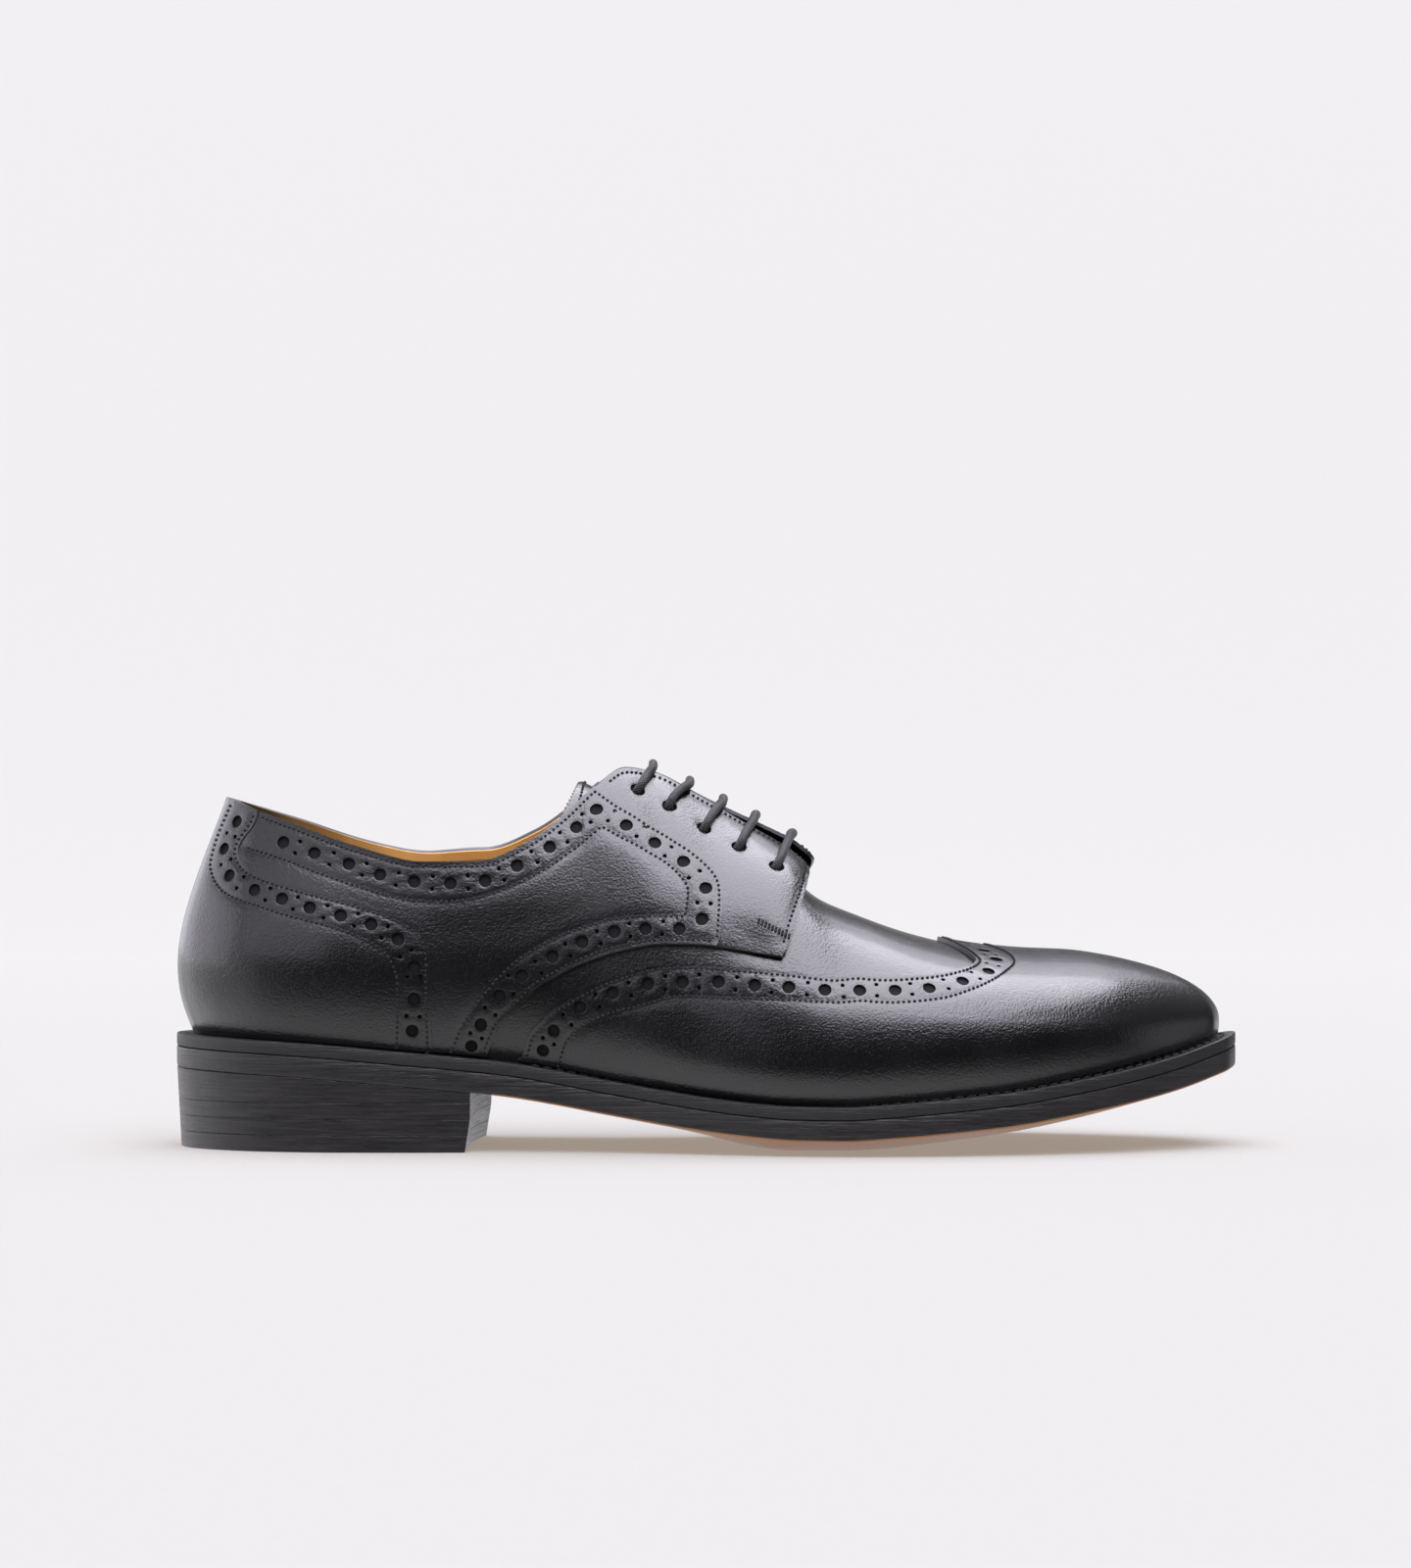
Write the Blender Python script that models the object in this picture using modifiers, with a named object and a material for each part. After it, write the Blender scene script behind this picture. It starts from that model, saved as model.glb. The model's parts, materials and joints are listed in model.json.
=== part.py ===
"""Wingtip derby shoe, right foot: toe along +X, outer side toward -Y, standing on Z = 0."""
import bpy
import bmesh
import math
from mathutils import Vector

MM = 0.001

# Sizes of the shoe in millimetres
GAP = 0.3
WALL = 1.6
EDGE_HEIGHT = 9.6
WELT_THICKNESS = 3.6
WELT_WIDTH = 9.2
INSOLE_INSET = 9.6
INSOLE_ABOVE_WELT = 1.5
EDGE_ROUND = 0.6
BED_DIP = 0.25
CROWN_POWER = 2.2
HEEL_BREAST_LATERAL = -65.5
HEEL_BREAST_MEDIAL = -62.5
HEEL_BREAST_HOLLOW = 1.5
HEEL_BREAST_RAKE = 1.5
HEEL_TAPER = 1.2
HEEL_EDGE_INSET = 0.1
HEEL_BACK_HEIGHT = 22.4
HEEL_END_RIB = 6.0
BREAST_SLANT = 0.2
HEEL_LAYERS = (("top_lift", 0.0, 4.5), ("heel_lift_1", 4.8, 9.0), ("heel_lift_2", 9.3, 13.5),
               ("heel_lift_3", 13.8, None))
TONGUE_THICKNESS = 1.8
LACE_DIAMETER = 2.8
EYELET_DIAMETER = 4.2
TONGUE_CLEARANCE = 0.8
FACING_LIFT = 4.6
FACING_LIFT_REACH = 17.0
INNER_LIFT = 3.0
INNER_LIFT_START = -8.0
INNER_LIFT_SIDE = 32.0
INNER_LIFT_FULL = 10.0
RIDGE_Y = 1.0
FACING_FROM_RIDGE = 6.0

# One row per rib of the last, heel back to toe tip. sole_x, sole_lat and sole_med place the sole
# edge, inset and out_* the feather line and the widest point, top_* the collar, throat or ridge.
RIB_COLUMNS = ("sole_x", "sole_lat", "sole_med", "spine_x", "inset", "out_lat", "out_med", "up",
               "top_x", "ridge_y", "half_gap", "top_z", "med_rise", "lean", "rise", "roll")
RIBS = (
    (-150.0, 0.0, 0.0, -118, 7.2, 4.7, 4.7, 19.0, -133.8, 0.0, 0.0, 97.6, 0.0, 71, 0.30, 0.30),
    (-147.6, 11.0, 11.0, -117, 7.1, 4.6, 4.6, 19.0, -132.4, 0.0, 6.2, 97.1, 0.0, 73, 0.30, 0.30),
    (-140.0, 20.5, 20.5, -114, 6.9, 4.5, 4.5, 19.0, -127.6, 0.0, 12.0, 95.2, 0.2, 75, 0.30, 0.30),
    (-124.0, 29.8, 29.8, -108, 6.4, 4.3, 4.3, 19.0, -115.5, 0.0, 18.8, 90.8, 0.7, 76, 0.30, 0.30),
    (-102.0, 34.2, 34.2, -96, 5.8, 4.2, 4.4, 20.0, -97.0, 0.1, 24.6, 84.3, 1.0, 76, 0.30, 0.30),
    (-82.0, 34.7, 35.4, -80, 5.4, 4.3, 5.0, 21.0, -79.0, 0.2, 27.8, 80.1, 2.2, 75, 0.30, 0.30),
    (-62.0, 34.0, 35.2, -61, 5.0, 4.6, 6.0, 22.0, -64.0, 0.4, 28.4, 80.0, 3.2, 71, 0.30, 0.30),
    (-45.0, 34.6, 32.8, -45, 4.6, 5.0, 7.5, 21.5, -50.0, 0.6, 26.8, 85.3, 2.8, 65, 0.31, 0.30),
    (-32.0, 36.0, 30.6, -32, 4.3, 5.0, 8.5, 20.0, -39.5, 0.8, 23.2, 92.8, 2.2, 57, 0.33, 0.30),
    (-22.0, 37.6, 29.7, -22, 4.2, 5.0, 9.0, 18.0, -31.0, 0.9, 19.0, 100.6, 1.2, 48, 0.35, 0.30),
    (-12.0, 39.8, 29.9, -12, 4.2, 5.0, 9.0, 15.5, -23.5, 1.0, 13.4, 105.6, 0.5, 42, 0.37, 0.30),
    (-2.0, 42.4, 31.2, -2, 4.2, 4.8, 8.5, 13.2, -15.5, 1.0, 9.4, 104.4, 0.3, 38, 0.38, 0.30),
    (10.0, 45.9, 33.6, 10, 4.2, 4.5, 7.5, 11.8, -3.0, 1.0, 9.0, 97.9, 0.3, 36, 0.38, 0.30),
    (23.0, 49.1, 38.3, 23, 4.3, 3.8, 6.2, 11.0, 9.0, 1.0, 9.0, 90.0, 0.3, 32, 0.38, 0.32),
    (35.0, 50.8, 43.6, 35, 4.4, 3.3, 4.8, 10.7, 20.0, 1.1, 7.6, 80.4, 0.2, 24, 0.38, 0.35),
    (45.0, 51.2, 47.2, 45, 4.5, 2.9, 3.9, 10.8, 28.5, 1.3, 0.0, 71.0, 0.0, 6, 0.38, 0.40),
    (56.0, 50.9, 50.2, 56, 4.6, 2.8, 3.2, 11.0, 42.0, 1.7, 0.0, 64.9, 0.0, 4, 0.38, 0.42),
    (70.0, 49.0, 51.2, 70, 4.7, 2.7, 2.8, 11.2, 58.0, 2.3, 0.0, 59.4, 0.0, 3, 0.37, 0.43),
    (85.0, 46.0, 49.9, 85, 4.9, 2.5, 2.5, 11.0, 74.0, 2.9, 0.0, 55.9, 0.0, 3, 0.35, 0.43),
    (100.0, 41.4, 46.4, 97, 5.2, 2.3, 2.3, 10.2, 89.0, 3.4, 0.0, 54.4, 0.0, 3, 0.33, 0.43),
    (115.0, 35.4, 41.2, 106, 5.6, 1.8, 1.8, 8.5, 102.0, 3.8, 0.0, 53.8, 0.0, 4, 0.32, 0.43),
    (129.0, 26.6, 33.8, 112, 6.0, 1.3, 1.3, 7.0, 112.0, 4.0, 0.0, 52.4, 0.0, 6, 0.30, 0.43),
    (140.0, 16.8, 24.8, 116, 6.3, 0.9, 0.9, 5.8, 119.5, 4.1, 0.0, 50.8, 0.0, 10, 0.28, 0.43),
    (147.4, 7.4, 15.6, 118, 6.5, 0.7, 0.7, 5.2, 123.6, 4.1, 0.0, 49.7, 0.0, 14, 0.26, 0.43),
    (150.0, -4.1, 4.1, 119, 6.5, 0.6, 0.6, 5.0, 125.0, 4.1, 0.0, 49.3, 0.0, 16, 0.26, 0.43),
)
ODD_COLUMNS = ("sole_lat", "sole_med", "half_gap")
LAST_RIB = len(RIBS) - 1
THROAT_TOP_RIB = 10
THROAT_END_RIB = 15

# Height of the welt top along the shoe, and how far the middle of the tread hangs below its edge
PROFILE_COLUMNS = ("x", "welt_top", "crown")
PROFILE = (
    (-150, 32.0, 0.0), (-112, 30.2, 0.0), (-89, 28.3, 0.0), (-65, 26.1, 0.0), (-55, 25.0, 0.4),
    (-42, 22.9, 1.0), (-29, 20.5, 1.2), (-9, 17.2, 1.8), (0, 15.9, 2.6), (12, 14.6, 4.4),
    (24, 13.8, 5.0), (38, 13.7, 5.0), (50, 14.4, 5.2), (68, 15.9, 4.6), (84, 17.5, 3.9),
    (101, 20.2, 3.2), (118, 23.4, 2.0), (132, 26.6, 1.0), (143, 29.8, 0.3), (150, 32.0, 0.0),
)

# Eyelets as rib position and height on the rib, and the rib where the lace bar leaves the facing
EYELET_COLUMNS = ("s", "v", "edge_s")
EYELETS = ((10.20, 1.885, 10.95), (11.10, 1.828, 11.75), (11.83, 1.795, 12.48), (12.55, 1.776, 13.15),
           (13.31, 1.772, 13.90))
BAR_ARCH = 1.2

# Rear end of the tongue past the facings: rows moved back and up from the throat's first rib, and narrowed
TAIL_COLUMNS = ("dx", "dz", "narrow")
TONGUE_TAIL = ((-14.0, 0.6, 0.84), (-7.5, 0.5, 0.92))
TONGUE_BRIDGE = 3

# Seen from the side, in x and z: the raw edges of the panels laid over the upper
WING_EDGE = ((-50.7, 26.4), (-48.8, 33.0), (-46.0, 36.5), (-42.5, 40.0), (-37.0, 43.0),
             (-30.0, 46.8), (-23.6, 49.2), (-17.0, 51.1), (-10.6, 52.2), (3.4, 52.1), (21.3, 50.8),
             (39.3, 50.0), (51.2, 49.7), (63.5, 50.3), (71.7, 51.9), (75.3, 53.4), (72.5, 56.2),
             (69.0, 57.9), (64.5, 59.4))
QUARTER_FRONT = ((-36.0, 106.5), (-23.5, 95.5), (-16.9, 91.4), (-10.2, 87.6), (-3.3, 83.0), (1.4, 78.8),
                 (3.8, 75.2), (4.4, 71.2), (4.1, 65.8), (3.6, 57.2))
QUARTER_FOOT = ((-3.9, 57.2), (-10.6, 57.2), (-17.1, 56.6), (-23.6, 55.2), (-30.1, 53.3), (-36.9, 50.6),
                (-43.4, 47.0), (-48.5, 43.2), (-53.2, 38.6), (-57.6, 34.8), (-59.8, 31.0), (-60.8, 28.0))
COUNTER_EDGE = ((-76.4, 47.1), (-76.4, 54.6), (-77.8, 59.5), (-81.7, 63.3), (-88.5, 66.5),
                (-98.1, 69.7), (-106.4, 71.3), (-113.9, 73.4), (-122.7, 76.1), (-127.6, 78.2),
                (-130.3, 81.4), (-130.7, 83.9), (-129.4, 86.4), (-126.6, 90.2), (-125.3, 93.8),
                (-124.9, 115.0))
FACING_FOOT = ((10.4, 55.6), (20.6, 54.2), (22.3, 55.0))
FACING_FRONT = ((23.9, 61.5), (26.3, 69.4), (27.5, 76.2), (28.3, 82.0))
FACING_CORNER = (28.0, 78.0)
WING_TAIL_X = -51.0
QUARTER_HEEL_X = -61.2
COUNTER_FRONT_X = -76.4
CUT_TOP = 120.0
CUT_REACH = 160.0

# Panels stand this far off the upper's own surface
WING_HEIGHT = 1.4
FACING_HEIGHT = 1.3
QUARTER_HEIGHT = 1.7
COUNTER_HEIGHT = 2.1
PANEL_ABOVE_WELT = 0.3

# Counts that set how fine the faceted surfaces are
UPPER_EXTRA_PLACES = (0.5, 1.5, 2.5, 9.5, 10.5, 14.5, 21.5, 22.5, 23.5)
SOLE_EXTRA_PLACES = (0.5, 23.5)
SIDE_STEPS = 2
ROOF_STEPS = 7
PLATE_STEPS = 3
HEEL_STEPS = 12
WELT_STEP = 10.0
BREAST_STEPS = 3


def monotone(keys, values, key, odd_ends=False):
    """Smooth curve through a column of values that never swings past its rows."""
    last = len(keys) - 1
    steps = [(values[i + 1] - values[i]) / (keys[i + 1] - keys[i]) for i in range(last)]

    def slope(i):
        if i == 0 or i == last:
            return steps[min(i, last - 1)] if odd_ends else 0.0
        before, after = steps[i - 1], steps[i]
        if before * after <= 0.0:
            return 0.0
        return 2.0 * before * after / (before + after)

    i = 0
    while i < last - 1 and key > keys[i + 1]:
        i += 1
    span = keys[i + 1] - keys[i]
    t = (key - keys[i]) / span
    a, b = values[i], values[i + 1]
    da, db = slope(i) * span, slope(i + 1) * span
    return (a * (1 + 2 * t) * (1 - t) ** 2 + da * t * (1 - t) ** 2
            + b * t * t * (3 - 2 * t) - db * t * t * (1 - t))


def rib(s, name):
    """Value of a rib column at position s, counted in ribs from the heel back."""
    column = RIB_COLUMNS.index(name)
    values = [row[column] for row in RIBS]
    return monotone(list(range(len(RIBS))), values, s, name in ODD_COLUMNS)


def profile(x, name):
    """Value of a profile column at a place along the shoe."""
    column = PROFILE_COLUMNS.index(name)
    keys = [row[0] for row in PROFILE]
    values = [row[column] for row in PROFILE]
    return monotone(keys, values, min(max(x, keys[0]), keys[-1]), True)


def edge_point(s, side):
    """Sole edge in plan; side is -1 on the outer side and +1 on the inner side."""
    half = rib(s, "sole_lat" if side < 0 else "sole_med")
    return Vector((rib(s, "sole_x"), side * half, 0.0))


def edge_normal(s, side):
    """Outward direction of the sole edge in plan."""
    if s <= 0.0:
        return Vector((-1.0, 0.0, 0.0))
    if s >= LAST_RIB:
        return Vector((1.0, 0.0, 0.0))
    step = 0.05
    along = edge_point(min(s + step, LAST_RIB), side) - edge_point(max(s - step, 0.0), side)
    return Vector((-side * along.y, side * along.x, 0.0)).normalized()


def inset_point(s, side, inset):
    """Point inside the sole edge by the given amount."""
    return edge_point(s, side) - edge_normal(s, side) * inset


def bezier(a, b, c, d, t):
    """Point on a cubic curve."""
    k = 1.0 - t
    return a * k ** 3 + b * (3 * k * k * t) + c * (3 * k * t * t) + d * t ** 3


def rib_ends(s, side):
    """Feather point, widest point and top point of the rib at s."""
    feather = inset_point(s, side, rib(s, "inset"))
    feather.z = profile(feather.x, "welt_top") + GAP
    wide = feather + edge_normal(s, side) * rib(s, "out_lat" if side < 0 else "out_med")
    wide.z += rib(s, "up")
    rise = rib(s, "med_rise") if side > 0 else 0.0
    top = Vector((rib(s, "top_x"), rib(s, "ridge_y") + side * rib(s, "half_gap"),
                  rib(s, "top_z") + rise))
    return feather, wide, top


def last_point(s, side, v):
    """Point of the upper's outside; v runs 0..1 up to the widest point and 1..2 on to the top."""
    feather, wide, top = rib_ends(s, side)
    if v <= 1.0:
        start = feather.lerp(wide, 0.5)
        start.z = feather.z + 0.3 * (wide.z - feather.z)
        end = wide - Vector((0.0, 0.0, 0.45 * (wide.z - feather.z)))
        return bezier(feather, start, end, wide, v)
    inward = Vector((top.x - wide.x, top.y - wide.y, 0.0)).normalized()
    lean = math.radians(rib(s, "lean"))
    chord = (top - wide).length
    start = wide + Vector((0.0, 0.0, rib(s, "rise") * chord))
    end = top - (inward * math.cos(lean) + Vector((0.0, 0.0, math.sin(lean)))) * rib(s, "roll") * chord
    return bezier(wide, start, end, top, v - 1.0)


def around(extra):
    """Places round the shoe, every rib and some between: outer side to the toe, inner side back."""
    places = sorted(tuple(range(LAST_RIB + 1)) + extra)
    return [(s, -1) for s in places] + [(s, 1) for s in reversed(places[:-1])]


def material(name, colour, roughness, metallic=0.0):
    """Plain surface of one kind."""
    mat = bpy.data.materials.new(name)
    mat.use_nodes = True
    shader = mat.node_tree.nodes["Principled BSDF"]
    shader.inputs["Base Color"].default_value = (*colour, 1.0)
    shader.inputs["Roughness"].default_value = roughness
    shader.inputs["Metallic"].default_value = metallic
    mat.diffuse_color = (*colour, 1.0)
    return mat


def add_object(name, bm, mat, collection):
    """Object from a bmesh worked out in millimetres."""
    bmesh.ops.scale(bm, vec=(MM, MM, MM), verts=bm.verts)
    mesh = bpy.data.meshes.new(name)
    bm.to_mesh(mesh)
    bm.free()
    obj = bpy.data.objects.new(name, mesh)
    collection.objects.link(obj)
    if mat:
        mesh.materials.append(mat)
    return obj


def apply_modifiers(obj):
    """Bake the modifiers of an object into its mesh."""
    depsgraph = bpy.context.evaluated_depsgraph_get()
    mesh = bpy.data.meshes.new_from_object(obj.evaluated_get(depsgraph))
    obj.modifiers.clear()
    obj.data = mesh
    return obj


def boolean(obj, cutter, operation):
    """Exact Boolean of two objects, baked."""
    mod = obj.modifiers.new(operation.lower(), "BOOLEAN")
    mod.operation = operation
    mod.solver = "EXACT"
    mod.object = cutter
    return apply_modifiers(obj)


def mapped_grid(columns, rows, place):
    """Grid of quads whose corner (i, j) lands at place(i, j)."""
    bm = bmesh.new()
    bmesh.ops.create_grid(bm, x_segments=columns, y_segments=rows, size=1.0)
    for vert in bm.verts:
        i = round((vert.co.x + 1.0) * 0.5 * columns)
        j = round((vert.co.y + 1.0) * 0.5 * rows)
        vert.co = place(i, j)
    bmesh.ops.remove_doubles(bm, verts=bm.verts, dist=0.0001)
    bmesh.ops.dissolve_degenerate(bm, edges=bm.edges, dist=0.0001)
    return bm


def shell(name, bm, thickness, offset, mat, collection):
    """Open surface thickened into a closed wall."""
    obj = add_object(name, bm, mat, collection)
    mod = obj.modifiers.new("wall", "SOLIDIFY")
    mod.thickness = thickness * MM
    mod.offset = offset
    return apply_modifiers(obj)


def last_surface():
    """Whole outside of the upper, closed over the ridge and down the heel seam."""
    places = around(UPPER_EXTRA_PLACES)
    rows = SIDE_STEPS + ROOF_STEPS

    def place(i, j):
        s, side = places[i]
        v = j / SIDE_STEPS if j <= SIDE_STEPS else 1.0 + (j - SIDE_STEPS) / ROOF_STEPS
        return last_point(s, side, v)

    bm = mapped_grid(len(places) - 1, rows, place)
    bmesh.ops.triangulate(bm, faces=bm.faces)
    return bm


def spine_point(s):
    """Middle line of the sole in plan."""
    x = rib(s, "spine_x")
    middle = 0.5 * (rib(s, "sole_med") - rib(s, "sole_lat"))
    return Vector((x, middle, 0.0))


def plate(name, rim, top, bottom, mat, collection):
    """Plate across the sole: rim is a list of (inset, height above its bottom) up its edge."""
    places = around(SOLE_EXTRA_PLACES)
    rows = 2 * PLATE_STEPS + len(rim) - 1

    def place(i, j):
        s, side = places[i]
        spine = spine_point(s)
        low = j <= PLATE_STEPS
        high = j >= rows - PLATE_STEPS
        step = 0 if low else len(rim) - 1 if high else j - PLATE_STEPS
        share = j / PLATE_STEPS if low else (rows - j) / PLATE_STEPS if high else 1.0
        inset, height = rim[step]
        point = spine.lerp(inset_point(s, side, inset), share)
        if low:
            point.z = bottom(point.x, share)
        elif high:
            point.z = top(point.x, share)
        else:
            point.z = bottom(point.x, 1.0) + height
        return point

    return add_object(name, mapped_grid(len(places) - 1, rows, place), mat, collection)


def tread(x, share):
    """Underside of the outsole; share is 0 at the middle line and 1 at the edge."""
    height = profile(x, "welt_top") - EDGE_HEIGHT - profile(x, "crown") * (1.0 - share ** CROWN_POWER)
    return max(height, 0.0)


def bed(x, share):
    """Crosswise dip that welt, outsole and insole share on top."""
    return profile(x, "welt_top") - BED_DIP * profile(x, "crown") * (1.0 - share ** CROWN_POWER)


def outsole_top(x, share):
    return bed(x, share) - WELT_THICKNESS - GAP


def insole_top(x, share):
    return bed(x, share) + INSOLE_ABOVE_WELT


def insole_bottom(x, share):
    return bed(x, share) - WELT_THICKNESS


def welt_ring(mat, collection):
    """Strip round the top of the sole edge, rounded at its outer corners."""
    places = around(SOLE_EXTRA_PLACES)
    section = ((0.0, -WELT_THICKNESS + EDGE_ROUND), (0.0, -EDGE_ROUND), (EDGE_ROUND, 0.0),
               (WELT_WIDTH, 0.0), (WELT_WIDTH, -WELT_THICKNESS), (EDGE_ROUND, -WELT_THICKNESS))

    def place(i, j):
        s, side = places[i]
        inset, height = section[j % len(section)]
        point = inset_point(s, side, inset)
        point.z = profile(point.x, "welt_top") + height
        return point

    return add_object("welt", mapped_grid(len(places) - 1, len(section), place), mat, collection)


def ring_solid(low, high):
    """Closed solid between two rings of the same count, each filled flat."""
    bm = bmesh.new()
    ring = bmesh.ops.create_circle(bm, cap_ends=True, segments=len(low), radius=1.0)["verts"]
    for vert, point in zip(ring, low):
        vert.co = point
    raised = bmesh.ops.extrude_face_region(bm, geom=bm.faces[:], use_keep_orig=True)["geom"]
    for vert in [item for item in raised if isinstance(item, bmesh.types.BMVert)]:
        nearest = min(range(len(low)), key=lambda k: (low[k] - vert.co).length)
        vert.co = high[nearest]
    bmesh.ops.recalc_face_normals(bm, faces=bm.faces)
    return bm


def heel_ring(height):
    """Outline of the heel where its height above the ground is height(x): rim, then breast."""
    share = [i / HEEL_STEPS for i in range(HEEL_STEPS + 1)]
    places = [(HEEL_END_RIB * (1.0 - k), -1) for k in share] + [(HEEL_END_RIB * k, 1) for k in share[1:]]
    points = []
    for s, side in places:
        point = edge_point(s, side)
        z = height(point.x)
        point = inset_point(s, side, HEEL_EDGE_INSET + HEEL_TAPER * (1.0 - z / HEEL_BACK_HEIGHT))
        rake = HEEL_BREAST_RAKE * (1.0 - min(z / EDGE_HEIGHT, 1.0))
        breast = (HEEL_BREAST_LATERAL if side < 0 else HEEL_BREAST_MEDIAL) - rake
        point.x = breast if s == HEEL_END_RIB else min(point.x, breast - BREAST_SLANT * (HEEL_END_RIB - s))
        points.append(point)
    first, last = points[0], points[-1]
    for i in range(1, BREAST_STEPS + 1):
        across = i / (BREAST_STEPS + 1)
        point = last.lerp(first, across)
        point.x -= HEEL_BREAST_HOLLOW * math.sin(math.pi * across)
        points.append(point)
    for point in points:
        point.z = height(point.x)
    return points


def heel_seat(x):
    """Top of the heel, just under the outsole."""
    return profile(x, "welt_top") - EDGE_HEIGHT - GAP


def heel_layer(name, low, high, mat, collection):
    """One layer of the heel; a layer without a top height is the wedge under the seat."""
    bottom = heel_ring(lambda x: low)
    top = heel_ring(heel_seat if high is None else lambda x: high)
    return add_object(name, ring_solid(bottom, top), mat, collection)


def last_normal(s, side, v):
    """Outward direction of the upper's surface."""
    step = 0.02
    along = last_point(s + step, side, v) - last_point(s - step, side, v)
    up = last_point(s, side, min(v + step, 2.0)) - last_point(s, side, v - step)
    return (along.cross(up) * -side).normalized()


def facing_lift(point):
    """How far the facing stands off the vamp near the front corner of the throat."""
    away = math.hypot(point.x - FACING_CORNER[0], point.z - FACING_CORNER[1])
    lift = FACING_LIFT * math.exp(-(away / FACING_LIFT_REACH) ** 2)
    if point.y > RIDGE_Y:
        run = min(max((point.x - INNER_LIFT_START) / (FACING_CORNER[0] - INNER_LIFT_START), 0.0), 1.0)
        near = min(max((INNER_LIFT_SIDE - point.y) / (INNER_LIFT_SIDE - INNER_LIFT_FULL), 0.0), 1.0)
        lift += INNER_LIFT * run * run * (3.0 - 2.0 * run) * near
    return lift


def panel(name, outline, sides, height, mat, collection, cutters, lift=None):
    """Overlay cut from a shell on the upper's surface by a side-view outline pushed through it."""
    bm = last_surface()
    bm.normal_update()
    moves = [(vert, vert.normal * (GAP + (lift(vert.co) if lift else 0.0))) for vert in bm.verts]
    for vert, move in moves:
        vert.co += move
    obj = shell(name, bm, height - GAP, 1.0, mat, collection)
    near = [Vector((x, sides[0], z)) for x, z in outline]
    far = [Vector((x, sides[1], z)) for x, z in outline]
    cutter = add_object(name + "_outline", ring_solid(near, far), None, cutters)
    return boolean(obj, cutter, "INTERSECT")


def above_welt(start, end):
    """Lower edge of a panel, following the welt top from one x to another."""
    steps = max(2, round(abs(end - start) / WELT_STEP))
    places = [start + (end - start) * i / steps for i in range(steps + 1)]
    return tuple((x, profile(x, "welt_top") + GAP + PANEL_ABOVE_WELT) for x in places)


def shifted(points, amount):
    """Outline moved along X to leave the joint between two panels open."""
    return tuple((x + amount, z) for x, z in points)


def tongue(mat, collection):
    """Sheet under the throat that follows the inside of the upper and runs on past the facings."""
    heights = [1.0 + k / ROOF_STEPS for k in (ROOF_STEPS - 2, ROOF_STEPS - 1, ROOF_STEPS)]
    ribs = [s for s, side in around(UPPER_EXTRA_PLACES)
            if side < 0 and THROAT_TOP_RIB <= s <= THROAT_END_RIB + 1]

    def crosswise(s):
        outer = [last_point(s, -1, v) for v in heights]
        inner = [last_point(s, 1, v) for v in reversed(heights)]
        share = [k / (TONGUE_BRIDGE + 1) for k in range(1, TONGUE_BRIDGE + 1)]
        return outer + [outer[-1].lerp(inner[0], k) for k in share] + inner

    rows = []
    first = crosswise(ribs[0])
    for dx, dz, narrow in TONGUE_TAIL:
        rows.append([Vector((p.x + dx, p.y * narrow, p.z + dz)) for p in first])
    rows += [crosswise(s) for s in ribs]
    bm = mapped_grid(len(rows) - 1, len(first) - 1, lambda i, j: rows[i][j])
    bm.normal_update()
    up = sum((vert.normal.z for vert in bm.verts))
    moves = [(vert, vert.normal * (-math.copysign(WALL + TONGUE_CLEARANCE, up))) for vert in bm.verts]
    for vert, move in moves:
        vert.co += move
    return shell("tongue", bm, TONGUE_THICKNESS, -math.copysign(1.0, up), mat, collection)


def eyelet_cutter(collection):
    """Pins through every eyelet, to cut the facings and the upper."""
    bm = bmesh.new()
    for s, v, edge_s in EYELETS:
        for side in (-1, 1):
            turn = last_normal(s, side, v).to_track_quat("Z", "Y").to_matrix().to_4x4()
            turn.translation = last_point(s, side, v)
            bmesh.ops.create_cone(bm, cap_ends=True, segments=10, radius1=EYELET_DIAMETER / 2,
                                  radius2=EYELET_DIAMETER / 2, depth=16.0, matrix=turn)
    return add_object("eyelet_pins", bm, None, collection)


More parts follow.
